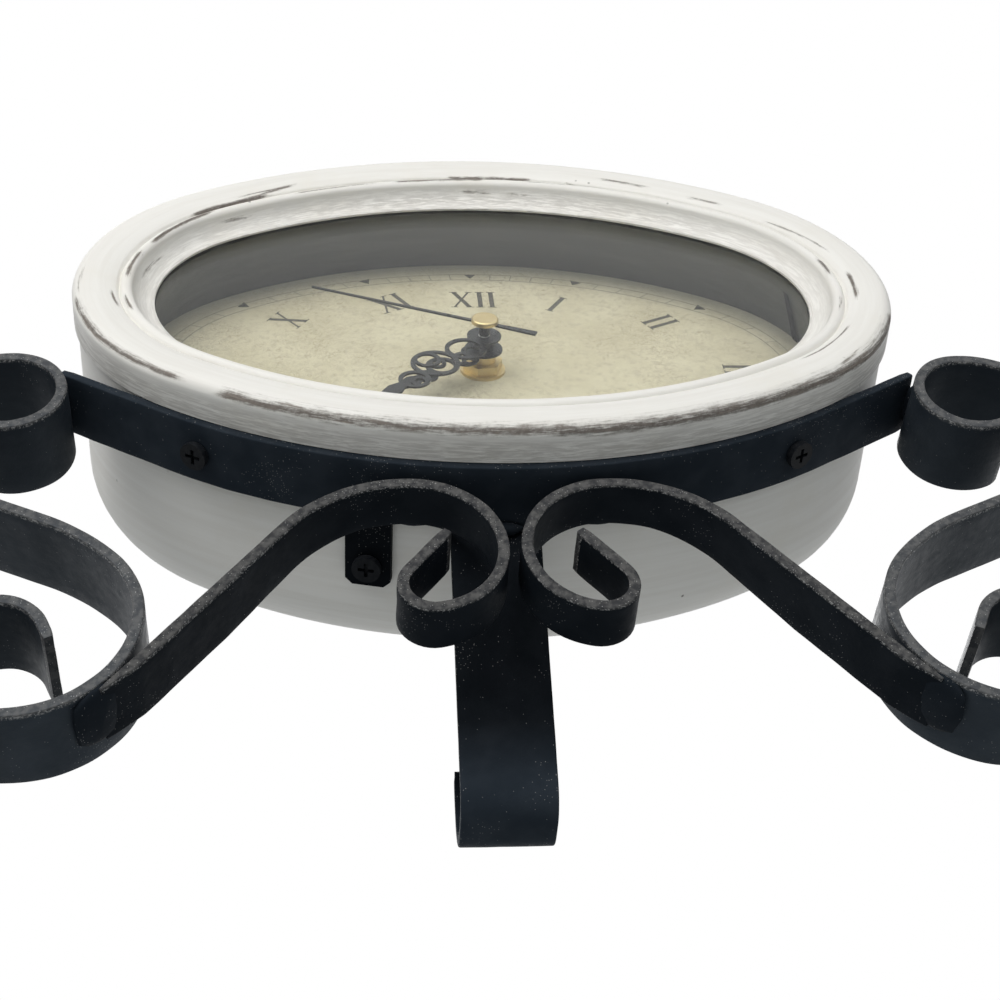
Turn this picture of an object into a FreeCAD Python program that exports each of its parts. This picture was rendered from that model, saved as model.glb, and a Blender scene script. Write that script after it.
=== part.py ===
import FreeCAD, Part
import math
import os

V = FreeCAD.Vector

# Clearances, all in millimetres
SEAT_GAP = 0.2
WELD_GAP = 0.25
RUN_GAP = 0.08
HOLE_GAP = 0.1

# Oval of the bezel's outer edge: two end arcs and two flatter arcs
CASE_HALF_WIDTH = 125.0
CASE_HALF_HEIGHT = 90.0
CASE_END_RADIUS = 74.0

# Bezel, measured inwards from its outer edge and back from its edge plane
BEZEL_WIDTH = 24.0
BEZEL_DEPTH = 9.0
BEZEL_RISE = 2.4
BEZEL_DISH = 1.5
BEZEL_CROWN = 0.5
BEZEL_EDGE_ROUND = 4.0
BEZEL_FACE_WIDTH = 13.0
QUIRK_WIDTH = 0.8
QUIRK_DEPTH = 1.3
BEAD_WIDTH = 4.2
SIGHT_DEPTH = 6.5

# Glass, liner, dial and board
GLASS_LAP = 4.0
GLASS_THICKNESS = 2.0
LINER_THICKNESS = 2.5
LINER_FLARE_WIDTH = 8.5
DIAL_DEPTH = 32.2
DIAL_THICKNESS = 0.8
BOARD_THICKNESS = 4.0

# Case drum behind the bezel
CASE_STEP = 1.0
CASE_DEPTH = 83.0
CASE_WALL = 7.0
CASE_BACK_ROUND = 26.0
LEDGE_WIDTH = 10.0
LEDGE_THICKNESS = 6.0
BACK_OPENING_INSET = 34.0
BACK_LIP = 6.0
PANEL_THICKNESS = 4.0
WINDOW_MARGIN = 18.0
WINDOW_SIDE_GAP = 10.0

# Wood screws: board, panel, band and tab
FIXING_SHARE = 0.63
SMALL_SHANK_RADIUS = 1.4
SMALL_HEAD_RADIUS = 3.0
SMALL_HEAD_HEIGHT = 1.8
BOARD_SCREW_BITE = 3.0
PANEL_SCREW_BITE = 2.6
PAN_SHANK_RADIUS = 2.0
PAN_HEAD_RADIUS = 4.1
PAN_HEAD_HEIGHT = 2.6
PAN_SCREW_BITE = 6.0
RECESS_WIDTH = 1.1
RECESS_LENGTH = 4.6
RECESS_DEPTH = 1.3
BAND_SCREW_SHARE = 0.88

# Quartz movement
GASKET_THICKNESS = 1.0
MOVEMENT_SIDE = 56.0
MOVEMENT_DEPTH = 16.0
MOVEMENT_WALL = 1.2
MOVEMENT_COVER = 1.5
BAY_HEIGHT = 15.6
CELL_RADIUS = 7.2
CELL_LENGTH = 49.0
CELL_NUB_RADIUS = 2.7
CELL_NUB_LENGTH = 1.4
CONTACT_THICKNESS = 0.5
BUSH_RADIUS = 3.95
BUSH_FRONT = 26.0
FLANGE_RADIUS = 5.6
FLANGE_THICKNESS = 1.4
WASHER_RADIUS = 7.15
WASHER_THICKNESS = 1.0
NUT_FLATS = 11.0
NUT_THICKNESS = 2.8
HOUR_PIPE_RADIUS = 2.75
MINUTE_PIPE_RADIUS = 1.75
SECOND_ARBOR_RADIUS = 0.65

# Gear train: modules, teeth and the directions of the side axes
MOTION_MODULE = 0.375
MINUTE_PINION_TEETH = 12
MOTION_TEETH = 36
KNOB_TEETH = 16
HOUR_TEETH = 40
MOTION_PINION_TEETH = 10
SECOND_MODULE = 0.3
SECOND_TEETH = 60
TRANSFER_PINION_TEETH = 10
ROTOR_MODULE = 0.4
TRANSFER_TEETH = 40
ROTOR_PINION_TEETH = 8
MOTION_BEARING = 20.0
KNOB_BEARING = 40.0
TRANSFER_BEARING = 140.0
ROTOR_BEARING = 110.0
WHEEL_THICKNESS = 0.9
PINION_THICKNESS = 1.3
TRAIN_PITCH = 2.1
PIVOT_RADIUS = 0.7
PIVOT_SINK = 0.5
MAGNET_RADIUS = 3.0
MAGNET_LENGTH = 2.2
KNOB_RADIUS = 5.0
KNOB_HEIGHT = 4.0
COIL_RADIUS = 4.2
COIL_LENGTH = 24.0
STATOR_THICKNESS = 1.2
CIRCUIT_LENGTH = 20.0
CIRCUIT_HEIGHT = 8.0
CIRCUIT_THICKNESS = 1.0
CIRCUIT_GAP = 1.5
COIL_SHIFT = 4.0
CORE_SIDE = 3.0
CORE_OVERHANG = 3.0
YOKE_WIDTH = 3.0
POLE_RING_WIDTH = 2.2
MOTOR_GAP = 0.4
CHIP_RADIUS = 2.2
CHIP_HEIGHT = 1.2
POST_SIDE = 2.0
POST_INSET = 1.0

# Hands, depths behind the bezel's edge plane and dial time of the photo
HAND_THICKNESS = 0.6
HOUR_WIRE_WIDTH = 1.5
MINUTE_WIRE_WIDTH = 1.4
HOUR_HAND_DEPTH = 24.2
MINUTE_HAND_DEPTH = 19.6
SECOND_HAND_DEPTH = 15.0
HOUR_HAND_LENGTH = 41.0
MINUTE_HAND_LENGTH = 58.0
SECOND_HAND_LENGTH = 59.0
SECOND_TAIL_LENGTH = 17.0
HOUR_BOSS_RADIUS = 6.0
MINUTE_BOSS_RADIUS = 5.4
SECOND_BOSS_RADIUS = 2.6
HOUR_COLLAR_RADIUS = 4.4
MINUTE_COLLAR_RADIUS = 3.2
SECOND_COLLAR_RADIUS = 1.6
COLLAR_GAP = 0.3
CAP_RADIUS = 4.2
CAP_HEIGHT = 1.5
CAP_ROUND = 0.6
HOUR_ANGLE = 228.4
MINUTE_ANGLE = 220.9
SECOND_ANGLE = 294.0

# How the clock stands
RECLINE = 10.0
DIAL_HEIGHT = 174.5

# Iron strap stand
STRAP_THICKNESS = 3.2
STAND_FRONT_DEPTH = -5.0
SIDE_WIDTH = 25.0
BRACE_WIDTH = 18.5
BRACE_CURL_WIDTH = 14.5
LEG_WIDTH = 25.0
BAND_WIDTH = 19.0

# Side scroll, from its flat foot outwards and upwards
FOOT_HALF_WIDTH = 124.3
FOOT_FLAT_LENGTH = 4.6
FOOT_INNER_RADIUS = 18.1
FOOT_CURL_RADIUS = 12.4
FOOT_CURL_SWEEP = 66.0
FOOT_TAIL_LENGTH = 6.0
SIDE_LOWER_RADIUS = 30.0
SIDE_LOWER_SWEEP = 132.2
SIDE_BEND_RADIUS = 61.2
SIDE_BEND_SWEEP = 22.3
EYE_RADIUS = 14.6
EYE_SWEEP = 222.0
EYE_SEAT_ANGLE = 45.0

# Brace scroll, from its top inwards to the tip and outwards to the foot
BRACE_TOP_HALF_WIDTH = 27.0
BRACE_SHOULDER_RADIUS = 23.9
BRACE_SHOULDER_SWEEP = 105.7
BRACE_BELLY_RADIUS = 20.3
BRACE_BELLY_SWEEP = 64.2
BRACE_CURL_RADIUS = 8.1
BRACE_CURL_SWEEP = 137.2
BRACE_TIP_LENGTH = 17.4
BRACE_ARCH_SWEEP = 53.2
TAPER_START_WIDTH = 40.0
TAPER_END_WIDTH = 75.0
SCARF_LENGTH = 11.0
SCARF_LAP_LENGTH = 5.0
SCARF_EDGE_THICKNESS = 1.0

# Rear leg
LEG_SIDE_OFFSET = -2.7
LEG_REACH_DEPTH = 44.3
LEG_FLAT_LENGTH = 4.0
LEG_FOOT_RADIUS = 9.0
LEG_FOOT_SWEEP = 80.0
LEG_CURL_RADIUS = 20.0
LEG_CURL_SWEEP = 50.0
LEG_TOP_GAP = 0.85

# Tab under the drum
TAB_SHARE = -0.378
TAB_WIDTH = 13.0
TAB_THICKNESS = 2.4
TAB_LENGTH = 23.0
TAB_SCREW_INSET = 7.0
TAB_CORNER = 2.0


# Oval made of four tangent arcs
FLAT_RADIUS = (
    (CASE_HALF_WIDTH - CASE_END_RADIUS) ** 2
    + CASE_HALF_HEIGHT ** 2
    - CASE_END_RADIUS ** 2
) / (2.0 * (CASE_HALF_HEIGHT - CASE_END_RADIUS))
END_CENTRE_X = CASE_HALF_WIDTH - CASE_END_RADIUS
FLAT_CENTRE_Z = FLAT_RADIUS - CASE_HALF_HEIGHT
FLAT_HALF_ANGLE = math.degrees(math.atan2(END_CENTRE_X, FLAT_CENTRE_Z))
FIXING_ANGLE = FIXING_SHARE * FLAT_HALF_ANGLE


def oval_arcs():
    join = 90.0 - FLAT_HALF_ANGLE
    return [
        (END_CENTRE_X, 0.0, CASE_END_RADIUS, -join, join),
        (0.0, -FLAT_CENTRE_Z, FLAT_RADIUS, join, 180.0 - join),
        (-END_CENTRE_X, 0.0, CASE_END_RADIUS, 180.0 - join, 180.0 + join),
        (0.0, FLAT_CENTRE_Z, FLAT_RADIUS, 180.0 + join, 360.0 - join),
    ]


def polar(cx, cz, radius, angle, y):
    turn = math.radians(angle)
    return V(cx + radius * math.cos(turn), y, cz + radius * math.sin(turn))


def oval_wire(offset, y):
    edges = []
    for cx, cz, radius, start, end in oval_arcs():
        reach = radius + offset
        first = polar(cx, cz, reach, start, y)
        middle = polar(cx, cz, reach, (start + end) / 2.0, y)
        last = polar(cx, cz, reach, end, y)
        edges.append(Part.Arc(first, middle, last).toShape())
    return Part.Wire(edges)


def oval_disc(offset, front, back):
    return Part.Face(oval_wire(offset, front)).extrude(V(0, back - front, 0))


def oval_flare(offset, growth, front, back):
    return Part.makeLoft([oval_wire(offset, front), oval_wire(offset + growth, back)], True, True)


def oval_ring(outer, inner, front, back):
    return oval_disc(outer, front, back).cut(oval_disc(inner, front, back))


def oval_moulding(start_point, moves):
    sectors = []
    for cx, cz, radius, start, end in oval_arcs():
        def place(point):
            return polar(cx, cz, radius + point[0], start, point[1])
        edges = []
        here = start_point
        for move in moves:
            there = move[-1]
            if len(move) == 2:
                bend = Part.Arc(place(here), place(move[0]), place(there))
                edges.append(bend.toShape())
            else:
                edges.append(Part.makeLine(place(here), place(there)))
            here = there
        edges.append(Part.makeLine(place(here), place(start_point)))
        face = Part.Face(Part.Wire(edges))
        sectors.append(face.revolve(V(cx, 0, cz), V(0, 1, 0), start - end))
    return sectors[0].multiFuse(sectors[1:]).removeSplitter()


def cylinder(radius, x, z, front, back):
    return Part.makeCylinder(radius, back - front, V(x, front, z), V(0, 1, 0))


def tube(radius, bore, x, z, front, back):
    return cylinder(radius, x, z, front, back).cut(cylinder(bore, x, z, front, back))


def block(x0, x1, y0, y1, z0, z1):
    return Part.makeBox(x1 - x0, y1 - y0, z1 - z0, V(x0, y0, z0))


def solid(shape):
    return shape.removeSplitter()


# Bezel ring
bead_start = BEZEL_FACE_WIDTH + QUIRK_WIDTH
bead_end = bead_start + BEAD_WIDTH
face_y = BEZEL_DISH - BEZEL_RISE
quirk_y = face_y + QUIRK_DEPTH
glass_inset = BEZEL_WIDTH - GLASS_LAP
edge_y = BEZEL_EDGE_ROUND * 0.75 - BEZEL_RISE
crown_y = 0.5 * (face_y - BEZEL_RISE) - BEZEL_CROWN
bezel = oval_moulding(
    (0.0, BEZEL_DEPTH),
    [
        [(0.0, edge_y)],
        [(-BEZEL_EDGE_ROUND * 0.3, edge_y - BEZEL_EDGE_ROUND * 0.52),
         (-BEZEL_EDGE_ROUND, -BEZEL_RISE)],
        [(-0.5 * (BEZEL_EDGE_ROUND + BEZEL_FACE_WIDTH), crown_y),
         (-BEZEL_FACE_WIDTH, face_y)],
        [(-bead_start, quirk_y)],
        [(-0.5 * (bead_start + bead_end), quirk_y - 0.4 * BEAD_WIDTH),
         (-bead_end, quirk_y + 0.5)],
        [(-bead_end - 0.34 * (BEZEL_WIDTH - bead_end), 0.66 * SIGHT_DEPTH),
         (-BEZEL_WIDTH, SIGHT_DEPTH - 0.8)],
        [(-BEZEL_WIDTH, SIGHT_DEPTH)],
        [(-glass_inset, SIGHT_DEPTH)],
        [(-glass_inset, BEZEL_DEPTH)],
    ],
)

# Glass, liner, dial and board
glass_back = SIGHT_DEPTH + GLASS_THICKNESS
glass_lens = oval_disc(-glass_inset - SEAT_GAP, SIGHT_DEPTH, glass_back)
liner_outer = -BEZEL_WIDTH + LINER_THICKNESS
dial_liner = oval_flare(liner_outer, LINER_FLARE_WIDTH, glass_back, DIAL_DEPTH)
dial_liner = dial_liner.cut(oval_flare(-BEZEL_WIDTH, LINER_FLARE_WIDTH, glass_back, DIAL_DEPTH))
dial_edge = -CASE_STEP - CASE_WALL - SEAT_GAP
dial_back = DIAL_DEPTH + DIAL_THICKNESS
board_back = dial_back + BOARD_THICKNESS
bush_hole = BUSH_RADIUS + HOLE_GAP
shaft_hole = cylinder(bush_hole, 0, 0, DIAL_DEPTH, board_back + GASKET_THICKNESS)
dial_plate = oval_disc(dial_edge, DIAL_DEPTH, dial_back).cut(shaft_hole)
dial_board = oval_disc(dial_edge, dial_back, board_back).cut(shaft_hole)

# Case drum
side = -CASE_STEP
inside = -CASE_STEP - CASE_WALL
round_centre = side - CASE_BACK_ROUND
round_start = CASE_DEPTH - CASE_BACK_ROUND
inner_round = CASE_BACK_ROUND - CASE_WALL
lip_front = CASE_DEPTH - CASE_WALL
panel_front = CASE_DEPTH - PANEL_THICKNESS
ledge_back = board_back + LEDGE_THICKNESS
slant = math.sqrt(0.5)
case_drum = oval_moulding(
    (side, BEZEL_DEPTH),
    [
        [(side, round_start)],
        [(round_centre + CASE_BACK_ROUND * slant, round_start + CASE_BACK_ROUND * slant),
         (round_centre, CASE_DEPTH)],
        [(-BACK_OPENING_INSET, CASE_DEPTH)],
        [(-BACK_OPENING_INSET, panel_front)],
        [(-BACK_OPENING_INSET - BACK_LIP, panel_front)],
        [(-BACK_OPENING_INSET - BACK_LIP, lip_front)],
        [(round_centre, lip_front)],
        [(round_centre + inner_round * slant, round_start + inner_round * slant),
         (inside, round_start)],
        [(inside, ledge_back)],
        [(inside - LEDGE_WIDTH, ledge_back)],
        [(inside - LEDGE_WIDTH, board_back)],
        [(inside, board_back)],
        [(inside, BEZEL_DEPTH)],
    ],
)

# Back panel with a window over the movement
window_x = MOVEMENT_SIDE / 2.0 + WINDOW_SIDE_GAP
window_z = CASE_HALF_HEIGHT - BACK_OPENING_INSET - WINDOW_MARGIN
back_panel = oval_disc(-BACK_OPENING_INSET - SEAT_GAP, panel_front, CASE_DEPTH)
back_panel = back_panel.cut(
    block(-window_x, window_x, panel_front, CASE_DEPTH, -window_z, window_z)
)


def fixing_places(offset):
    places = []
    for sign in (1.0, -1.0):
        for lean in (FIXING_ANGLE, -FIXING_ANGLE):
            turn = math.radians(lean)
            reach = FLAT_RADIUS + offset
            x = reach * math.sin(turn)
            z = sign * (reach * math.cos(turn) - FLAT_CENTRE_Z)
            places.append((x, z))
    return places


def small_screw(x, z, seat, bite):
    head = cylinder(SMALL_HEAD_RADIUS, x, z, seat, seat + SMALL_HEAD_HEIGHT)
    shank = cylinder(SMALL_SHANK_RADIUS, x, z, seat - bite, seat)
    half = RECESS_WIDTH / 2.0
    top = seat + SMALL_HEAD_HEIGHT
    slot = block(x - SMALL_HEAD_RADIUS, x + SMALL_HEAD_RADIUS, top - 0.7, top, z - half, z + half)
    return solid(head.fuse(shank)).cut(slot)


board_screws = []
for x, z in fixing_places(inside - LEDGE_WIDTH / 2.0):
    bite = LEDGE_THICKNESS + BOARD_SCREW_BITE
    board_screws.append(small_screw(x, z, ledge_back, bite))
    hole = cylinder(SMALL_SHANK_RADIUS + HOLE_GAP, x, z, ledge_back - bite, ledge_back)
    case_drum = case_drum.cut(hole)
    dial_board = dial_board.cut(hole)
dial_board_screws = Part.makeCompound(board_screws)

panel_screws = []
for x, z in fixing_places(-BACK_OPENING_INSET - BACK_LIP / 2.0):
    bite = PANEL_THICKNESS + PANEL_SCREW_BITE
    panel_screws.append(small_screw(x, z, CASE_DEPTH, bite))
    hole = cylinder(SMALL_SHANK_RADIUS + HOLE_GAP, x, z, CASE_DEPTH - bite, CASE_DEPTH)
    case_drum = case_drum.cut(hole)
    back_panel = back_panel.cut(hole)
back_panel_screws = Part.makeCompound(panel_screws)

# Movement housing: gear room above, open battery bay below
half_side = MOVEMENT_SIDE / 2.0
movement_front = board_back + GASKET_THICKNESS
movement_back = movement_front + MOVEMENT_DEPTH
floor_y = movement_front + MOVEMENT_WALL
bay_bottom = -half_side + MOVEMENT_WALL
bay_top = bay_bottom + BAY_HEIGHT
room_bottom = bay_top + MOVEMENT_WALL
room_edge = half_side - MOVEMENT_WALL
gasket_half = half_side * 0.8
gasket = block(-gasket_half, gasket_half, board_back, movement_front, -gasket_half, gasket_half)
gasket = gasket.cut(shaft_hole)
housing = block(-half_side, half_side, movement_front, movement_back, -half_side, half_side)
housing = housing.cut(block(-room_edge, room_edge, floor_y, movement_back, bay_bottom, bay_top))
housing = housing.cut(block(-room_edge, room_edge, floor_y, movement_back, room_bottom, room_edge))
movement_housing = housing.cut(cylinder(bush_hole, 0, 0, movement_front, floor_y))

# Brass bushing, washer and nut on the dial
hour_bore = MINUTE_PIPE_RADIUS + RUN_GAP
minute_bore = SECOND_ARBOR_RADIUS + RUN_GAP
bush_bore = HOUR_PIPE_RADIUS + RUN_GAP
flange_back = floor_y + FLANGE_THICKNESS
threaded_bushing = solid(
    cylinder(BUSH_RADIUS, 0, 0, BUSH_FRONT, flange_back)
    .fuse(cylinder(FLANGE_RADIUS, 0, 0, floor_y, flange_back))
).cut(cylinder(bush_bore, 0, 0, BUSH_FRONT, flange_back))
washer_front = DIAL_DEPTH - WASHER_THICKNESS
mounting_washer = tube(WASHER_RADIUS, bush_hole, 0, 0, washer_front, DIAL_DEPTH)
nut_points = []
for corner in range(7):
    nut_points.append(polar(0, 0, NUT_FLATS / math.sqrt(3.0), 60.0 * corner + 12.0, washer_front))
mounting_nut = Part.Face(Part.makePolygon(nut_points)).extrude(V(0, -NUT_THICKNESS, 0))
nut_front = washer_front - NUT_THICKNESS
mounting_nut = mounting_nut.cut(cylinder(bush_hole, 0, 0, nut_front, washer_front))


def gear(module, teeth, phase, x, z, front, thickness):
    pitch = module * teeth / 2.0
    step = 360.0 / teeth
    shape = [
        (pitch - 1.15 * module, -0.29),
        (pitch + 0.8 * module, -0.09),
        (pitch + 0.8 * module, 0.09),
        (pitch - 1.15 * module, 0.29),
    ]
    points = []
    for tooth in range(teeth):
        for radius, part in shape:
            points.append(polar(x, z, radius, phase + step * (tooth + part), front))
    points.append(points[0])
    return Part.Face(Part.makePolygon(points)).extrude(V(0, thickness, 0))


def meshed_phase(teeth, phase, other_teeth, bearing):
    step = 360.0 / teeth
    ahead = (phase - bearing + step / 2.0) % step - step / 2.0
    return bearing + 180.0 - ahead * teeth / other_teeth + 180.0 / other_teeth


# Axes of the train in the clock's own frame
motion_reach = MOTION_MODULE * (MINUTE_PINION_TEETH + MOTION_TEETH) / 2.0
hour_module = 2.0 * motion_reach / (HOUR_TEETH + MOTION_PINION_TEETH)
motion_axis = polar(0, 0, motion_reach, MOTION_BEARING, 0)
knob_reach = MOTION_MODULE * (MOTION_TEETH + KNOB_TEETH) / 2.0
knob_axis = polar(motion_axis.x, motion_axis.z, knob_reach, KNOB_BEARING, 0)
transfer_reach = SECOND_MODULE * (SECOND_TEETH + TRANSFER_PINION_TEETH) / 2.0
transfer_axis = polar(0, 0, transfer_reach, TRANSFER_BEARING, 0)
rotor_reach = ROTOR_MODULE * (TRANSFER_TEETH + ROTOR_PINION_TEETH) / 2.0
rotor_axis = polar(transfer_axis.x, transfer_axis.z, rotor_reach, ROTOR_BEARING, 0)

# Levels of the train behind the bushing flange
level_hour = flange_back + 0.3
level_minute = level_hour + TRAIN_PITCH
level_second = level_minute + TRAIN_PITCH
level_transfer = level_second + TRAIN_PITCH
cover_front = movement_back
motion_phase = meshed_phase(MINUTE_PINION_TEETH, MOTION_BEARING, MOTION_TEETH, MOTION_BEARING)
knob_phase = meshed_phase(MOTION_TEETH, motion_phase, KNOB_TEETH, KNOB_BEARING)
hour_phase = meshed_phase(
    MOTION_PINION_TEETH, MOTION_BEARING + 180.0, HOUR_TEETH, MOTION_BEARING + 180.0
)
transfer_phase = meshed_phase(
    SECOND_TEETH, TRANSFER_BEARING, TRANSFER_PINION_TEETH, TRANSFER_BEARING
)
rotor_phase = meshed_phase(
    TRANSFER_TEETH, transfer_phase, ROTOR_PINION_TEETH, ROTOR_BEARING
)

hour_wheel = solid(
    gear(hour_module, HOUR_TEETH, hour_phase, 0, 0, level_hour, WHEEL_THICKNESS)
    .fuse(cylinder(HOUR_PIPE_RADIUS, 0, 0, HOUR_HAND_DEPTH, level_hour + PINION_THICKNESS))
).cut(cylinder(hour_bore, 0, 0, HOUR_HAND_DEPTH, level_hour + PINION_THICKNESS))
minute_wheel = solid(
    gear(MOTION_MODULE, MINUTE_PINION_TEETH, MOTION_BEARING, 0, 0, level_minute, PINION_THICKNESS)
    .fuse(cylinder(MINUTE_PIPE_RADIUS, 0, 0, MINUTE_HAND_DEPTH, level_minute + PINION_THICKNESS))
).cut(cylinder(minute_bore, 0, 0, MINUTE_HAND_DEPTH, level_minute + PINION_THICKNESS))
arbor_back = movement_back - MOVEMENT_WALL
pivot_front = floor_y - PIVOT_SINK
second_wheel = solid(
    gear(SECOND_MODULE, SECOND_TEETH, TRANSFER_BEARING, 0, 0, level_second, WHEEL_THICKNESS)
    .fuse(cylinder(SECOND_ARBOR_RADIUS, 0, 0, SECOND_HAND_DEPTH, arbor_back))
)
motion_wheel = solid(
    gear(MOTION_MODULE, MOTION_TEETH, motion_phase, motion_axis.x, motion_axis.z,
         level_minute, WHEEL_THICKNESS)
    .fuse(gear(hour_module, MOTION_PINION_TEETH, MOTION_BEARING + 180.0,
               motion_axis.x, motion_axis.z, level_hour - 0.2, level_minute - level_hour + 0.2))
).cut(cylinder(PIVOT_RADIUS + RUN_GAP, motion_axis.x, motion_axis.z, level_hour - 0.2, level_second))
transfer_wheel = solid(
    gear(ROTOR_MODULE, TRANSFER_TEETH, transfer_phase, transfer_axis.x, transfer_axis.z,
         level_transfer, WHEEL_THICKNESS)
    .fuse(gear(SECOND_MODULE, TRANSFER_PINION_TEETH, transfer_phase, transfer_axis.x,
               transfer_axis.z, level_second - 0.2, level_transfer - level_second + 0.2))
    .fuse(cylinder(PIVOT_RADIUS, transfer_axis.x, transfer_axis.z, pivot_front, arbor_back))
)
magnet_front = level_transfer + PINION_THICKNESS
magnet_back = magnet_front + MAGNET_LENGTH
rotor = solid(
    gear(ROTOR_MODULE, ROTOR_PINION_TEETH, rotor_phase, rotor_axis.x, rotor_axis.z,
         level_transfer - 0.2, PINION_THICKNESS + 0.2)
    .fuse(cylinder(MAGNET_RADIUS, rotor_axis.x, rotor_axis.z, magnet_front, magnet_back))
    .fuse(cylinder(PIVOT_RADIUS, rotor_axis.x, rotor_axis.z, pivot_front, arbor_back))
)
knob_seat = cover_front + MOVEMENT_COVER
knob_stem_front = level_minute - 0.2
set_knob = solid(
    gear(MOTION_MODULE, KNOB_TEETH, knob_phase, knob_axis.x, knob_axis.z,
         knob_stem_front, PINION_THICKNESS)
    .fuse(cylinder(PIVOT_RADIUS, knob_axis.x, knob_axis.z, pivot_front, knob_stem_front))
    .fuse(cylinder(PIVOT_RADIUS * 2.0, knob_axis.x, knob_axis.z, knob_stem_front, knob_seat + 0.5))
    .fuse(cylinder(KNOB_RADIUS, knob_axis.x, knob_axis.z, knob_seat + 0.3, knob_seat + KNOB_HEIGHT))
)
for ridge in range(8):
    notch = polar(knob_axis.x, knob_axis.z, KNOB_RADIUS, 45.0 * ridge, 0)
    set_knob = set_knob.cut(cylinder(0.8, notch.x, notch.z, knob_seat + 1.0, knob_seat + KNOB_HEIGHT))

# Cover with pivot bosses
cover = block(-half_side, half_side, cover_front, knob_seat, room_bottom, half_side)
for axis_x, axis_z, radius in (
    (0.0, 0.0, SECOND_ARBOR_RADIUS),
    (transfer_axis.x, transfer_axis.z, PIVOT_RADIUS),
    (rotor_axis.x, rotor_axis.z, PIVOT_RADIUS),
):
    boss_front = arbor_back - 1.2
    cover = cover.fuse(cylinder(radius + 1.2, axis_x, axis_z, boss_front, cover_front))
    cover = cover.cut(cylinder(radius + RUN_GAP, axis_x, axis_z, boss_front, arbor_back + 0.2))
stem_hole = PIVOT_RADIUS * 2.0 + RUN_GAP
cover = cover.cut(cylinder(stem_hole, knob_axis.x, knob_axis.z, cover_front, knob_seat))
movement_cover = solid(cover)

# Stepping motor and circuit
coil_z = room_edge - COIL_RADIUS - 0.6
coil_y = floor_y + COIL_RADIUS + 1.2
coil_half = COIL_LENGTH / 2.0
coil_core = CORE_SIDE / 2.0
coil = Part.makeCylinder(COIL_RADIUS, COIL_LENGTH, V(COIL_SHIFT - coil_half, coil_y, coil_z), V(1, 0, 0))
coil = coil.cut(block(COIL_SHIFT - coil_half, COIL_SHIFT + coil_half, coil_y - coil_core,
                      coil_y + coil_core, coil_z - coil_core, coil_z + coil_core))
stator_front = magnet_front + MOTOR_GAP
stator_back = stator_front + STATOR_THICKNESS
core_reach = coil_half + CORE_OVERHANG
core_half = coil_core - 0.15
pole = block(COIL_SHIFT - core_reach, COIL_SHIFT + core_reach, coil_y - core_half,
             coil_y + core_half, coil_z - core_half, coil_z + core_half)
for end in (-1.0, 1.0):
    inner_x = COIL_SHIFT + end * (coil_half + MOTOR_GAP)
    outer_x = COIL_SHIFT + end * core_reach
    pole = pole.fuse(block(min(inner_x, outer_x), max(inner_x, outer_x), coil_y - core_half,
                           stator_back, coil_z - core_half, coil_z + core_half))
ring_reach = MAGNET_RADIUS + POLE_RING_WIDTH
yoke_half = YOKE_WIDTH / 2.0
yoke = cylinder(ring_reach, rotor_axis.x, rotor_axis.z, stator_front, stator_back)
yoke = yoke.fuse(block(rotor_axis.x, COIL_SHIFT + core_reach, stator_front,
                       stator_back, rotor_axis.z - yoke_half, rotor_axis.z + yoke_half))
for end in (-1.0, 1.0):
    inner_x = COIL_SHIFT + end * (coil_half + MOTOR_GAP)
    outer_x = COIL_SHIFT + end * core_reach
    yoke = yoke.fuse(block(min(inner_x, outer_x), max(inner_x, outer_x), stator_front,
                           stator_back, rotor_axis.z - yoke_half, coil_z + core_half))
stator = pole.fuse(yoke)
stator = solid(stator.cut(cylinder(MAGNET_RADIUS + MOTOR_GAP, rotor_axis.x, rotor_axis.z,
                                   stator_front, stator_back)))
stator = stator.cut(cylinder(stem_hole + 0.3, knob_axis.x, knob_axis.z, stator_front, stator_back))
circuit_x = room_edge - 0.4
circuit_z = room_bottom + 0.4
circuit_back = arbor_back - CIRCUIT_GAP
circuit_board = block(circuit_x - CIRCUIT_LENGTH, circuit_x, circuit_back - CIRCUIT_THICKNESS,
                      circuit_back, circuit_z, circuit_z + CIRCUIT_HEIGHT)
circuit_front = circuit_back - CIRCUIT_THICKNESS
chip = cylinder(CHIP_RADIUS, circuit_x - CIRCUIT_LENGTH / 2.0, circuit_z + CIRCUIT_HEIGHT / 2.0,
                circuit_front - CHIP_HEIGHT, circuit_front)
post_x = circuit_x - POST_INSET
post_z = circuit_z + POST_INSET
post = block(post_x - POST_SIDE, post_x, floor_y, circuit_front, post_z, post_z + POST_SIDE)
circuit_board = solid(circuit_board.fuse(chip))
movement_housing = movement_housing.fuse(post)
movement_housing = movement_housing.fuse(
    cylinder(PIVOT_RADIUS, motion_axis.x, motion_axis.z, floor_y, level_minute + PINION_THICKNESS)
)
for axis in (knob_axis, transfer_axis, rotor_axis):
    socket = cylinder(PIVOT_RADIUS + RUN_GAP, axis.x, axis.z, pivot_front - 0.1, floor_y)
    movement_housing = movement_housing.cut(socket)
movement_housing = solid(movement_housing)

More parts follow.
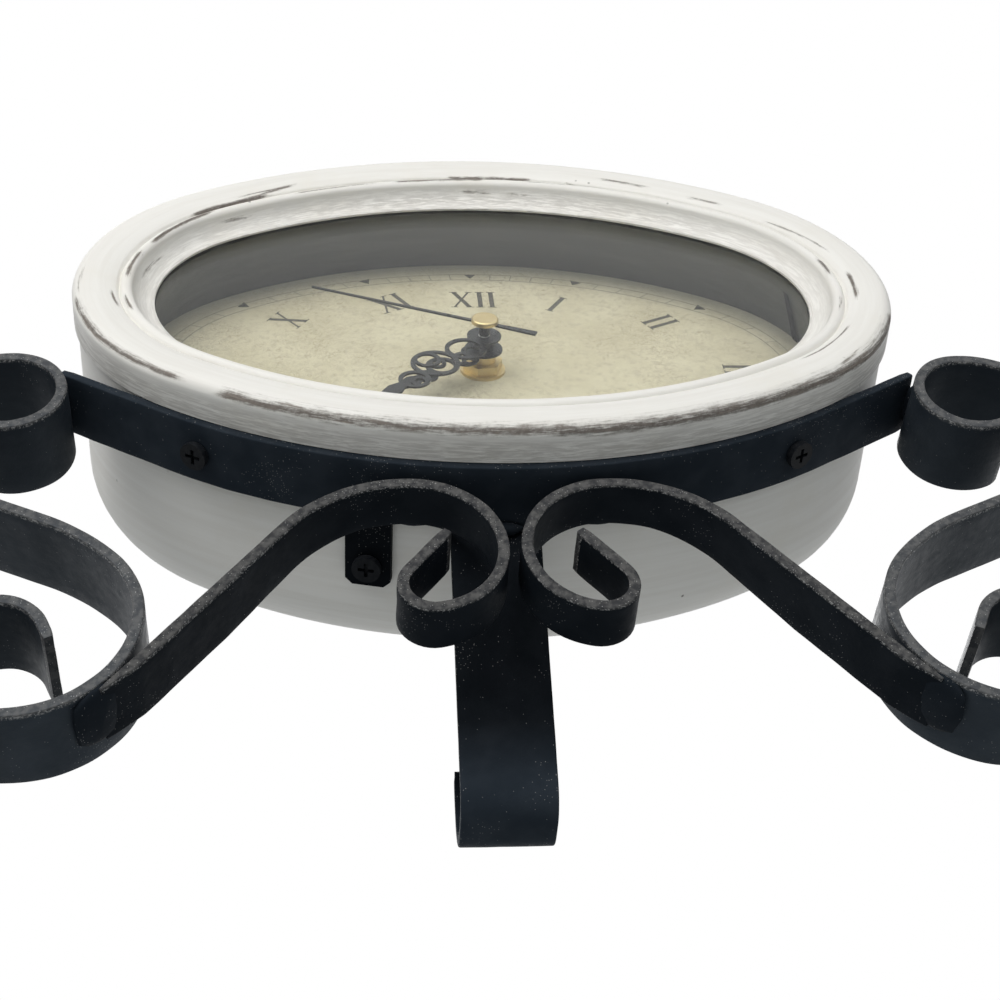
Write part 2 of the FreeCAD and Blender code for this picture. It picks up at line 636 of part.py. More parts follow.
# Battery and its contacts
cell_y = floor_y + CELL_RADIUS + 0.2
cell_z = 0.5 * (bay_bottom + bay_top)
cell_end = room_edge - CONTACT_THICKNESS - 0.3 - CELL_NUB_LENGTH
cell_start = cell_end - CELL_LENGTH
battery = solid(
    Part.makeCylinder(CELL_RADIUS, CELL_LENGTH, V(cell_start, cell_y, cell_z), V(1, 0, 0))
    .fuse(Part.makeCylinder(CELL_NUB_RADIUS, CELL_NUB_LENGTH, V(cell_end, cell_y, cell_z), V(1, 0, 0)))
)
contact_half = CELL_RADIUS * 0.7
contact_positive = block(room_edge - CONTACT_THICKNESS - 0.1, room_edge - 0.1, cell_y - contact_half,
                         cell_y + contact_half, cell_z - contact_half, cell_z + contact_half)
contact_negative = block(-room_edge + 0.1, -room_edge + 0.1 + CONTACT_THICKNESS,
                         cell_y - contact_half, cell_y + contact_half,
                         cell_z - contact_half, cell_z + contact_half)
spring_length = cell_start - 0.1 - (-room_edge + 0.1 + CONTACT_THICKNESS)
contact_negative = solid(contact_negative.fuse(
    Part.makeCone(CELL_RADIUS * 0.5, CELL_RADIUS * 0.3, spring_length,
                  V(-room_edge + 0.1 + CONTACT_THICKNESS, cell_y, cell_z), V(1, 0, 0))
))


# Hands: drawn pointing at twelve, then turned to the dial time
def plate_from_points(points, front):
    corners = [V(x, front, z) for x, z in points]
    corners.append(corners[0])
    return Part.Face(Part.makePolygon(corners)).extrude(V(0, HAND_THICKNESS, 0))


def filigree_hand(length, boss, bore, front, wire, collar, collar_back):
    back = front + HAND_THICKNESS
    tip = 0.30 * length
    body = length - tip - boss
    shape = cylinder(boss, 0, 0, front, back)
    sizes = (0.34, 0.40, 0.26)
    at = boss - wire
    rings = []
    for share in sizes:
        radius = 0.5 * share * (body + 2.0 * wire)
        rings.append((at + radius, radius))
        at = at + 2.0 * radius - wire * 0.55
    neck = at
    for number, (centre, radius) in enumerate(rings):
        lean = wire * 0.5 * (1.0 if number % 2 else -1.0)
        shape = shape.fuse(cylinder(radius, lean, centre, front, back))
    for number, (centre, radius) in enumerate(rings):
        lean = wire * 0.5 * (1.0 if number % 2 else -1.0)
        shape = shape.cut(cylinder(radius - wire, lean, centre, front, back))
        swing = radius * 0.42 * (1.0 if number % 2 else -1.0)
        curl = tube(radius * 0.56, radius * 0.56 - wire * 0.85, lean + swing, centre, front, back)
        shape = shape.fuse(curl)
    spear = [
        (-wire * 0.6, neck - wire),
        (-wire * 1.9, neck + tip * 0.24),
        (-wire * 0.35, length - wire),
        (0.0, length),
        (wire * 0.35, length - wire),
        (wire * 1.9, neck + tip * 0.24),
        (wire * 0.6, neck - wire),
    ]
    shape = shape.fuse(plate_from_points(spear, front))
    shape = shape.fuse(cylinder(collar, 0, 0, back, collar_back))
    return solid(shape).cut(cylinder(bore, 0, 0, front, collar_back))


def turned(shape, angle):
    copy = shape.copy()
    copy.rotate(V(0, 0, 0), V(0, 1, 0), angle)
    return copy


hour_hand = filigree_hand(HOUR_HAND_LENGTH, HOUR_BOSS_RADIUS, HOUR_PIPE_RADIUS, HOUR_HAND_DEPTH,
                          HOUR_WIRE_WIDTH, HOUR_COLLAR_RADIUS, BUSH_FRONT - COLLAR_GAP)
hour_hand = turned(hour_hand, HOUR_ANGLE)
minute_hand = filigree_hand(MINUTE_HAND_LENGTH, MINUTE_BOSS_RADIUS, MINUTE_PIPE_RADIUS,
                            MINUTE_HAND_DEPTH, MINUTE_WIRE_WIDTH, MINUTE_COLLAR_RADIUS,
                            HOUR_HAND_DEPTH - COLLAR_GAP)
minute_hand = turned(minute_hand, MINUTE_ANGLE)
needle = [
    (-1.1, -SECOND_TAIL_LENGTH),
    (-0.55, SECOND_BOSS_RADIUS),
    (-0.3, SECOND_HAND_LENGTH),
    (0.3, SECOND_HAND_LENGTH),
    (0.55, SECOND_BOSS_RADIUS),
    (1.1, -SECOND_TAIL_LENGTH),
]
second_back = SECOND_HAND_DEPTH + HAND_THICKNESS
second_hand = plate_from_points(needle, SECOND_HAND_DEPTH)
second_hand = second_hand.fuse(cylinder(SECOND_BOSS_RADIUS, 0, 0, SECOND_HAND_DEPTH, second_back))
collar_back = MINUTE_HAND_DEPTH - COLLAR_GAP
second_hand = second_hand.fuse(cylinder(SECOND_COLLAR_RADIUS, 0, 0, second_back, collar_back))
second_hand = solid(second_hand).cut(
    cylinder(SECOND_ARBOR_RADIUS, 0, 0, SECOND_HAND_DEPTH, collar_back)
)
second_hand = turned(second_hand, SECOND_ANGLE)
cap_front = SECOND_HAND_DEPTH - CAP_HEIGHT
second_hand_cap = cylinder(CAP_RADIUS, 0, 0, cap_front, SECOND_HAND_DEPTH)
front_rims = [e for e in second_hand_cap.Edges if abs(e.BoundBox.YMax - cap_front) < 0.01]
second_hand_cap = second_hand_cap.makeFillet(CAP_ROUND, front_rims)


# Straps: a path of lines and arcs, given a thickness and a width
def strap_face(start, heading, moves, thickness, place):
    half = thickness / 2.0
    x, z = start
    left = []
    right = []

    def spot(px, pz, angle, offset):
        turn = math.radians(angle)
        return place(px - offset * math.sin(turn), pz + offset * math.cos(turn))

    first = (x, z, heading)
    for move in moves:
        if move[0] == "line":
            turn = math.radians(heading)
            nx = x + move[1] * math.cos(turn)
            nz = z + move[1] * math.sin(turn)
            left.append(Part.makeLine(spot(x, z, heading, half), spot(nx, nz, heading, half)))
            right.append(Part.makeLine(spot(x, z, heading, -half), spot(nx, nz, heading, -half)))
            x, z = nx, nz
        else:
            radius, sweep = move[1], move[2]
            bend = 1.0 if sweep > 0 else -1.0
            pieces = 2 if abs(sweep) > 150.0 else 1
            for piece in range(pieces):
                part = sweep / pieces
                stops = []
                turn = math.radians(heading)
                cx = x - bend * radius * math.sin(turn)
                cz = z + bend * radius * math.cos(turn)
                for share in (0.0, 0.5, 1.0):
                    angle = heading + part * share
                    swing = math.radians(angle)
                    stops.append((cx + bend * radius * math.sin(swing),
                                  cz - bend * radius * math.cos(swing), angle))
                left.append(Part.Arc(*[spot(s[0], s[1], s[2], half) for s in stops]).toShape())
                right.append(Part.Arc(*[spot(s[0], s[1], s[2], -half) for s in stops]).toShape())
                x, z, heading = stops[2]
    cap = Part.makeLine(spot(x, z, heading, half), spot(x, z, heading, -half))
    tail = Part.makeLine(spot(*first, -half), spot(*first, half))
    right.reverse()
    return Part.Face(Part.Wire(left + [cap] + right + [tail]))


def end_of(start, heading, moves):
    x, z = start
    for move in moves:
        if move[0] == "line":
            turn = math.radians(heading)
            x = x + move[1] * math.cos(turn)
            z = z + move[1] * math.sin(turn)
        else:
            bend = 1.0 if move[2] > 0 else -1.0
            turn = math.radians(heading)
            swing = math.radians(heading + move[2])
            x = x + bend * move[1] * (math.sin(swing) - math.sin(turn))
            z = z - bend * move[1] * (math.cos(swing) - math.cos(turn))
            heading = heading + move[2]
    return x, z, heading


def mirrored(shape):
    return shape.mirror(V(0, 0, 0), V(1, 0, 0))


half_strap = STRAP_THICKNESS / 2.0
lean = math.radians(RECLINE)


def ground_y(y, z):
    return y * math.cos(lean) + z * math.sin(lean)


def ground_z(y, z):
    return DIAL_HEIGHT - y * math.sin(lean) + z * math.cos(lean)


# Cradle band, in the clock's own frame
seat_radius = FLAT_RADIUS - CASE_STEP
band_radius = seat_radius + SEAT_GAP + half_strap
band_front = BEZEL_DEPTH + SEAT_GAP
band_back = band_front + BAND_WIDTH
wrap = math.radians(FLAT_HALF_ANGLE)
band_tail = (CASE_HALF_WIDTH - (band_radius + half_strap) * math.sin(wrap)) / math.cos(wrap)
band_start = (
    -band_radius * math.sin(wrap) - band_tail * math.cos(wrap),
    FLAT_CENTRE_Z - band_radius * math.cos(wrap) + band_tail * math.sin(wrap),
)
band_moves = [
    ("line", band_tail),
    ("arc", band_radius, 2.0 * FLAT_HALF_ANGLE),
    ("line", band_tail),
]
cradle_band = strap_face(
    band_start, -FLAT_HALF_ANGLE, band_moves, STRAP_THICKNESS,
    lambda u, w: V(u, band_front, w),
).extrude(V(0, BAND_WIDTH, 0))

# Pan head screws, drawn under the drum's lowest line and swung round its arc
case_bottom = FLAT_CENTRE_Z - seat_radius


def pan_screw(seat, y):
    head = Part.makeCylinder(PAN_HEAD_RADIUS, PAN_HEAD_HEIGHT, V(0, y, seat), V(0, 0, -1))
    head = head.makeFillet(PAN_HEAD_HEIGHT * 0.45, [head.Edges[2]])
    shank = Part.makeCylinder(PAN_SHANK_RADIUS, case_bottom + PAN_SCREW_BITE - seat, V(0, y, seat))
    low = seat - PAN_HEAD_HEIGHT
    half = RECESS_WIDTH / 2.0
    reach = RECESS_LENGTH / 2.0
    slot = block(-reach, reach, y - half, y + half, low, low + RECESS_DEPTH)
    cross = block(-half, half, y - reach, y + reach, low, low + RECESS_DEPTH)
    return solid(head.fuse(shank)).cut(slot).cut(cross)


def swung(shape, share):
    copy = shape.copy()
    copy.rotate(V(0, 0, FLAT_CENTRE_Z), V(0, 1, 0), -share * FLAT_HALF_ANGLE)
    return copy


def pan_hole(seat, y):
    return Part.makeCylinder(PAN_SHANK_RADIUS + HOLE_GAP, case_bottom + PAN_SCREW_BITE - seat,
                             V(0, y, seat))


band_middle = band_front + BAND_WIDTH / 2.0
band_under = case_bottom - SEAT_GAP - STRAP_THICKNESS
screws = []
for share in (-BAND_SCREW_SHARE, BAND_SCREW_SHARE):
    screws.append(swung(pan_screw(band_under, band_middle), share))
    hole = swung(pan_hole(band_under, band_middle), share)
    cradle_band = cradle_band.cut(hole)
    case_drum = case_drum.cut(hole)
cradle_screws = Part.makeCompound(screws)

# Tab behind the band
tab_front = band_back + WELD_GAP
tab_back = tab_front + TAB_LENGTH
tab_under = case_bottom - SEAT_GAP - TAB_THICKNESS
tab_half = TAB_WIDTH / 2.0
tab_points = [
    (-tab_half, tab_front),
    (-tab_half, tab_back - TAB_CORNER),
    (-tab_half + TAB_CORNER, tab_back),
    (tab_half - TAB_CORNER, tab_back),
    (tab_half, tab_back - TAB_CORNER),
    (tab_half, tab_front),
]
tab_corners = [V(x, y, tab_under) for x, y in tab_points]
tab_corners.append(tab_corners[0])
tab_plate = Part.Face(Part.makePolygon(tab_corners)).extrude(V(0, 0, TAB_THICKNESS))
tab_screw_y = tab_back - TAB_SCREW_INSET
tab_hole = swung(pan_hole(tab_under, tab_screw_y), TAB_SHARE)
case_tab = swung(tab_plate, TAB_SHARE).cut(tab_hole)
tab_screw = swung(pan_screw(tab_under, tab_screw_y), TAB_SHARE)
case_drum = case_drum.cut(tab_hole)

# Side scroll, in the standing frame; its eye takes the band's end
band_end = end_of(band_start, -FLAT_HALF_ANGLE, band_moves)
corner_x = band_end[0] + half_strap * math.sin(wrap)
corner_z = ground_z(band_back, band_end[1] - half_strap * math.cos(wrap))
eye_out = EYE_RADIUS + half_strap + WELD_GAP
seat_turn = math.radians(EYE_SEAT_ANGLE)
eye_x = corner_x + eye_out * math.cos(seat_turn)
eye_z = corner_z - eye_out * math.sin(seat_turn)
side_lower = [
    ("arc", SIDE_LOWER_RADIUS, -SIDE_LOWER_SWEEP),
    ("arc", SIDE_BEND_RADIUS, -SIDE_BEND_SWEEP),
]
joint_x, joint_z, joint_heading = end_of((FOOT_HALF_WIDTH, half_strap), 180.0, side_lower)
rise = math.radians(joint_heading)
gap_x = eye_x - joint_x
gap_z = eye_z + EYE_RADIUS - joint_z
shoulder = (gap_z * math.cos(rise) - gap_x * math.sin(rise)) / (1.0 + math.cos(rise))
straight = (gap_x + shoulder * math.sin(rise)) / math.cos(rise)
outer_way = side_lower + [
    ("line", straight),
    ("arc", shoulder, 180.0 - joint_heading),
    ("arc", EYE_RADIUS, EYE_SWEEP),
]
foot_way = [
    ("line", FOOT_FLAT_LENGTH),
    ("arc", FOOT_INNER_RADIUS, 180.0),
    ("arc", FOOT_CURL_RADIUS, FOOT_CURL_SWEEP),
    ("line", FOOT_TAIL_LENGTH),
]


def front_view(u, w):
    return V(u, STAND_FRONT_DEPTH, w)


outer_strap = strap_face((FOOT_HALF_WIDTH, half_strap), 180.0, outer_way, STRAP_THICKNESS, front_view)
foot_strap = strap_face((FOOT_HALF_WIDTH, half_strap), 0.0, foot_way, STRAP_THICKNESS, front_view)
right_side_scroll = solid(
    outer_strap.extrude(V(0, SIDE_WIDTH, 0)).fuse(foot_strap.extrude(V(0, SIDE_WIDTH, 0)))
)
left_side_scroll = mirrored(right_side_scroll)

# Brace scroll: its top carries the band, its scarfed tail lies along the foot
brace_band_z = FLAT_CENTRE_Z - math.sqrt((band_radius + half_strap) ** 2 - BRACE_TOP_HALF_WIDTH ** 2)
brace_top = ground_z(band_back, brace_band_z) - WELD_GAP - half_strap
foot_centre_z = half_strap + SIDE_LOWER_RADIUS
foot_reach = SIDE_LOWER_RADIUS + half_strap + WELD_GAP
fall = math.radians(BRACE_ARCH_SWEEP)
brace_run = FOOT_HALF_WIDTH - BRACE_TOP_HALF_WIDTH
brace_rise = foot_centre_z - brace_top
arch_room = brace_run * math.sin(fall) + brace_rise * math.cos(fall) - foot_reach - half_strap
arch_radius = arch_room / (1.0 - math.cos(fall))
arch_end = end_of((BRACE_TOP_HALF_WIDTH, brace_top), 0.0, [("arc", arch_radius, -BRACE_ARCH_SWEEP)])
slope = math.radians(arch_end[2])
inner_x = arch_end[0] - half_strap * math.sin(slope)
inner_z = arch_end[1] + half_strap * math.cos(slope)
to_foot_x = FOOT_HALF_WIDTH - inner_x
to_foot_z = foot_centre_z - inner_z
along = to_foot_x * math.cos(slope) + to_foot_z * math.sin(slope)
floor_run = (arch_end[1] - half_strap * math.cos(slope)) / -math.sin(slope) - WELD_GAP
brace_tail = min(along + SCARF_LAP_LENGTH, floor_run)
brace_inward = [
    ("arc", BRACE_SHOULDER_RADIUS, BRACE_SHOULDER_SWEEP),
    ("arc", BRACE_BELLY_RADIUS, BRACE_BELLY_SWEEP),
    ("arc", BRACE_CURL_RADIUS, BRACE_CURL_SWEEP),
    ("line", BRACE_TIP_LENGTH),
]
brace_outward = [("arc", arch_radius, -BRACE_ARCH_SWEEP), ("line", brace_tail)]
inward = strap_face((BRACE_TOP_HALF_WIDTH, brace_top), 180.0, brace_inward, STRAP_THICKNESS, front_view)
outward = strap_face((BRACE_TOP_HALF_WIDTH, brace_top), 0.0, brace_outward, STRAP_THICKNESS, front_view)
right_brace_scroll = solid(
    inward.extrude(V(0, BRACE_WIDTH, 0)).fuse(outward.extrude(V(0, BRACE_WIDTH, 0)))
)
curl_back = STAND_FRONT_DEPTH + BRACE_CURL_WIDTH
brace_back = STAND_FRONT_DEPTH + BRACE_WIDTH
taper_points = [
    V(-TAPER_START_WIDTH, curl_back, 0),
    V(TAPER_START_WIDTH, curl_back, 0),
    V(TAPER_END_WIDTH, brace_back, 0),
    V(TAPER_END_WIDTH, brace_back + BRACE_WIDTH, 0),
    V(-TAPER_START_WIDTH, brace_back + BRACE_WIDTH, 0),
    V(-TAPER_START_WIDTH, curl_back, 0),
]
taper = Part.Face(Part.makePolygon(taper_points)).extrude(V(0, 0, DIAL_HEIGHT))
right_brace_scroll = right_brace_scroll.cut(taper)


def on_tail(run, offset):
    return V(arch_end[0] + run * math.cos(slope) - offset * math.sin(slope), STAND_FRONT_DEPTH,
             arch_end[1] + run * math.sin(slope) + offset * math.cos(slope))


scarf_points = [
    on_tail(brace_tail - SCARF_LENGTH, -half_strap),
    on_tail(brace_tail, half_strap - SCARF_EDGE_THICKNESS),
    on_tail(brace_tail + SCARF_LENGTH, -STRAP_THICKNESS),
    on_tail(brace_tail - SCARF_LENGTH, -STRAP_THICKNESS),
    on_tail(brace_tail - SCARF_LENGTH, -half_strap),
]
scarf = Part.Face(Part.makePolygon(scarf_points)).extrude(V(0, BRACE_WIDTH, 0))
foot_round = cylinder(foot_reach, FOOT_HALF_WIDTH, foot_centre_z, STAND_FRONT_DEPTH, brace_back)
right_brace_scroll = solid(right_brace_scroll.cut(scarf).cut(foot_round))
left_brace_scroll = mirrored(right_brace_scroll)

# Rear leg: hangs behind the band's back edge and curls up behind its flat foot
band_low = FLAT_CENTRE_Z - band_radius - half_strap
leg_top_y = ground_y(band_back, band_low) + WELD_GAP + half_strap * 1.1
under_y = (leg_top_y + STRAP_THICKNESS - case_bottom * math.sin(lean)) / math.cos(lean)
leg_top_z = ground_z(under_y, case_bottom) - LEG_TOP_GAP
leg_centre_y = LEG_REACH_DEPTH - LEG_FLAT_LENGTH / 2.0
leg_drop_y = leg_centre_y - leg_top_y
leg_drop_z = half_strap + LEG_FOOT_RADIUS - leg_top_z
leg_span = math.hypot(leg_drop_y, leg_drop_z)
leg_turn = math.asin(LEG_FOOT_RADIUS / leg_span)
leg_heading = math.degrees(math.atan2(leg_drop_z, leg_drop_y) - leg_turn)
leg_moves = [
    ("line", leg_span * math.cos(leg_turn)),
    ("arc", LEG_FOOT_RADIUS, -leg_heading),
    ("line", LEG_FLAT_LENGTH),
    ("arc", LEG_FOOT_RADIUS, LEG_FOOT_SWEEP),
    ("arc", LEG_CURL_RADIUS, LEG_CURL_SWEEP),
]
rear_leg = strap_face(
    (leg_top_y, leg_top_z), leg_heading, leg_moves, STRAP_THICKNESS,
    lambda u, w: V(LEG_SIDE_OFFSET - LEG_WIDTH / 2.0, u, w),
).extrude(V(LEG_WIDTH, 0, 0))

# Everything that leans back with the clock, and everything that stands upright
leaning = {
    "case_drum": case_drum,
    "bezel": bezel,
    "glass_lens": glass_lens,
    "dial_liner": dial_liner,
    "dial_plate": dial_plate,
    "dial_board": dial_board,
    "dial_board_screws": dial_board_screws,
    "back_panel": back_panel,
    "back_panel_screws": back_panel_screws,
    "gasket": gasket,
    "movement_housing": movement_housing,
    "movement_cover": movement_cover,
    "threaded_bushing": threaded_bushing,
    "mounting_washer": mounting_washer,
    "mounting_nut": mounting_nut,
    "hour_hand": hour_hand,
    "minute_hand": minute_hand,
    "second_hand": second_hand,
    "second_hand_cap": second_hand_cap,
    "hour_wheel": hour_wheel,
    "minute_wheel": minute_wheel,
    "second_wheel": second_wheel,
    "motion_wheel": motion_wheel,
    "transfer_wheel": transfer_wheel,
    "rotor": rotor,
    "set_knob": set_knob,
    "stator": stator,
    "coil": coil,
    "circuit_board": circuit_board,
    "battery": battery,
    "contact_positive": contact_positive,
    "contact_negative": contact_negative,
    "cradle_band": cradle_band,
    "cradle_screws": cradle_screws,
    "case_tab": case_tab,
    "tab_screw": tab_screw,
}
upright = {
    "left_side_scroll": left_side_scroll,
    "right_side_scroll": right_side_scroll,
    "left_brace_scroll": left_brace_scroll,
    "right_brace_scroll": right_brace_scroll,
    "rear_leg": rear_leg,
}
nodes = dict(upright)
for name, shape in leaning.items():
    copy = shape.copy()
    copy.rotate(V(0, 0, 0), V(1, 0, 0), -RECLINE)
    copy.translate(V(0, 0, DIAL_HEIGHT))
    nodes[name] = copy

# Origin under the middle of the whole object
boxes = [shape.optimalBoundingBox(False, False) for shape in nodes.values()]
front_most = min(box.YMin for box in boxes)
back_most = max(box.YMax for box in boxes)
lowest = min(box.ZMin for box in boxes)
shift = V(0, -0.5 * (front_most + back_most), -lowest)
os.makedirs("parts", exist_ok=True)
for name, shape in nodes.items():
    shape.translate(shift)
    shape.exportStep("parts/" + name + ".step")
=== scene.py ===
import math

import bpy
from mathutils import Matrix, Vector, noise


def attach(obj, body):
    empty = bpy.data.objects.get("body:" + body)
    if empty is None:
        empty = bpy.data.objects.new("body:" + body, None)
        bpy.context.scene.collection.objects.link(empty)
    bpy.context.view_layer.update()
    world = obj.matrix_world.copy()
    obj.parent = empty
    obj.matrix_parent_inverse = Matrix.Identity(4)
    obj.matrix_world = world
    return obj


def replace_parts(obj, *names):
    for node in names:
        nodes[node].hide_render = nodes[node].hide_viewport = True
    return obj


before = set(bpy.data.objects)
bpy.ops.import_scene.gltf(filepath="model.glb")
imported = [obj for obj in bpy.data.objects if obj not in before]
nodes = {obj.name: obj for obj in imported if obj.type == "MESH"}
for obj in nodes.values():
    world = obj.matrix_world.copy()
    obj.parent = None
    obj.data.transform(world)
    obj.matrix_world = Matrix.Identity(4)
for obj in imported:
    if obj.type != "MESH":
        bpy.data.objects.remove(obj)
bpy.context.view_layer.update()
ROOT = "clock_and_stand"
MM = 0.001

# Sizes in millimetres and angles in degrees, as in the solids
RECLINE = 10.0
DIAL_HEIGHT = 174.5
SHIFT_Y = -37.825
HALF_WIDTH = 125.0
HALF_HEIGHT = 90.0
END_RADIUS = 74.0
END_X = HALF_WIDTH - END_RADIUS
FLAT_RADIUS = (END_X ** 2 + HALF_HEIGHT ** 2 - END_RADIUS ** 2) / (2.0 * (HALF_HEIGHT - END_RADIUS))
FLAT_Z = FLAT_RADIUS - HALF_HEIGHT
JOIN = math.atan2(END_X, FLAT_Z)
DIAL_DEPTH = 32.2
CASE_DEPTH = 83.0
BACK_ROUND = 26.0
CASE_WALL = 7.0
DRUM_FRONT = 9.0
DRUM_INSET = 1.0
SEAT_GAP = 0.2
STRAP = 3.2
STAND_FRONT = -5.0
SIDE_WIDTH = 25.0
BRACE_WIDTH = 18.5
BRACE_NARROW = 14.5
BAND_WIDTH = 19.0
BAND_FRONT = DRUM_FRONT + SEAT_GAP
LEG_WIDTH = 25.0
LEG_LEFT = -15.2
SEAM_TURN = 20.4

CLOCK = Matrix.Translation((0.0, SHIFT_Y * MM, DIAL_HEIGHT * MM)) @ Matrix.Rotation(
    -math.radians(RECLINE), 4, "X"
)


# Node tree helpers
def put(tree, kind, inputs=None, **props):
    made = tree.nodes.new(kind)
    for key, value in props.items():
        setattr(made, key, value)
    for key, value in (inputs or {}).items():
        feed(tree, made.inputs[key], value)
    return made


def feed(tree, socket, value):
    if isinstance(value, bpy.types.NodeSocket):
        tree.links.new(value, socket)
    else:
        socket.default_value = value


def calc(tree, operation, a, b):
    return put(tree, "ShaderNodeMath", {0: a, 1: b}, operation=operation).outputs[0]


def plus(tree, a, b):
    return calc(tree, "ADD", a, b)


def minus(tree, a, b):
    return calc(tree, "SUBTRACT", a, b)


def times(tree, a, b):
    return calc(tree, "MULTIPLY", a, b)


def larger(tree, a, b):
    return calc(tree, "MAXIMUM", a, b)


def swing(tree, value, amount):
    return times(tree, minus(tree, value, 0.5), amount)


def blend(tree, factor, a, b):
    made = tree.nodes.new("ShaderNodeMix")
    made.data_type = "RGBA"
    feed(tree, made.inputs[0], factor)
    feed(tree, made.inputs[6], a)
    feed(tree, made.inputs[7], b)
    return made.outputs[2]


def grain(tree, vector, scale, detail=4.0, rough=0.55, distort=0.0):
    made = put(tree, "ShaderNodeTexNoise", {
        "Vector": vector, "Scale": scale, "Detail": detail, "Roughness": rough, "Distortion": distort,
    })
    return made.outputs["Fac"]


def step(tree, value, low, high):
    made = put(tree, "ShaderNodeMapRange", {0: value, 1: low, 2: high, 3: 0.0, 4: 1.0})
    made.interpolation_type = "SMOOTHSTEP"
    return made.outputs[0]


def spread(tree, value, low, high, first, last):
    return put(tree, "ShaderNodeMapRange", {0: value, 1: low, 2: high, 3: first, 4: last}).outputs[0]


def stretch(tree, vector, scale):
    return put(tree, "ShaderNodeMapping", {"Vector": vector, "Scale": scale}).outputs[0]


def place_of(tree):
    return put(tree, "ShaderNodeTexCoord").outputs["Object"]


def named(tree, name, output="Fac"):
    return put(tree, "ShaderNodeAttribute", attribute_name=name).outputs[output]


def bump(tree, height, strength, distance):
    made = put(tree, "ShaderNodeBump", {"Height": height, "Strength": strength, "Distance": distance})
    return made.outputs[0]


def either(tree, factor, first, second):
    made = put(tree, "ShaderNodeMixShader", {0: factor})
    tree.links.new(first.outputs[0], made.inputs[1])
    tree.links.new(second.outputs[0], made.inputs[2])
    return made


def fresh(name):
    made = bpy.data.materials.new(name)
    made.use_nodes = True
    return made, made.node_tree, made.node_tree.nodes["Principled BSDF"]


def setup(tree, shader, **values):
    for key, value in values.items():
        feed(tree, shader.inputs[key.replace("_", " ")], value)


# White paint, brushed along the ring and sanded through where the mesh says wear, and darkened as painted
# shade where the mesh says so
def paint_material():
    made, tree, shader = fresh("white_paint")
    spot = place_of(tree)
    ring = named(tree, "ring", "Vector")
    wear = named(tree, "wear")
    painted_shade = named(tree, "painted_shade")
    brush = grain(tree, stretch(tree, ring, (1.0, 1.0, 420.0)), 1.0, 6.0, 0.6)
    brush_fine = grain(tree, stretch(tree, ring, (5.0, 5.0, 1500.0)), 1.0, 3.0, 0.6)
    streak = grain(tree, stretch(tree, ring, (5.0, 5.0, 1500.0)), 1.0, 7.0, 0.66, 0.4)
    cloud = grain(tree, spot, 26.0, 4.0, 0.6)
    fleck = grain(tree, spot, 900.0, 3.0, 0.7)
    worn = plus(tree, wear, swing(tree, streak, 1.5))
    worn = plus(tree, worn, swing(tree, fleck, 0.35))
    bare = step(tree, worn, 0.46, 0.92)
    thin = step(tree, worn, 0.22, 0.70)
    tone = blend(tree, step(tree, brush, 0.3, 0.7), (0.855, 0.84, 0.80, 1), (0.905, 0.895, 0.86, 1))
    tone = blend(tree, step(tree, cloud, 0.52, 0.75), tone, (0.855, 0.835, 0.78, 1))
    tone = blend(tree, times(tree, thin, 0.5), tone, (0.44, 0.42, 0.39, 1))
    wood = blend(tree, step(tree, streak, 0.42, 0.72), (0.110, 0.094, 0.082, 1), (0.30, 0.265, 0.235, 1))
    tone = blend(tree, bare, tone, wood)
    dots = put(tree, "ShaderNodeTexVoronoi", {"Vector": spot, "Scale": 150.0, "Randomness": 1.0})
    sparse = step(tree, grain(tree, spot, 60.0, 2.0), 0.60, 0.65)
    nick = times(tree, step(tree, dots.outputs["Distance"], 0.11, 0.06), sparse)
    tone = blend(tree, times(tree, nick, 0.8), tone, (0.10, 0.088, 0.075, 1))
    # Painted shade: grey-brown streaks in creases, recesses and between parts, where the mesh asks for them
    streaky_shade = times(tree, painted_shade, step(tree, streak, 0.35, 0.6))
    tone = blend(tree, streaky_shade, tone, (0.34, 0.32, 0.29, 1))
    height = plus(tree, times(tree, brush, 0.6), times(tree, brush_fine, 0.4))
    height = minus(tree, height, times(tree, bare, 0.8))
    height = minus(tree, height, nick)
    rough = spread(tree, bare, 0.0, 1.0, 0.50, 0.74)
    setup(tree, shader, Base_Color=tone, Roughness=rough, Normal=bump(tree, height, 0.20, 0.0005))
    shader.inputs["Specular IOR Level"].default_value = 0.38
    return made
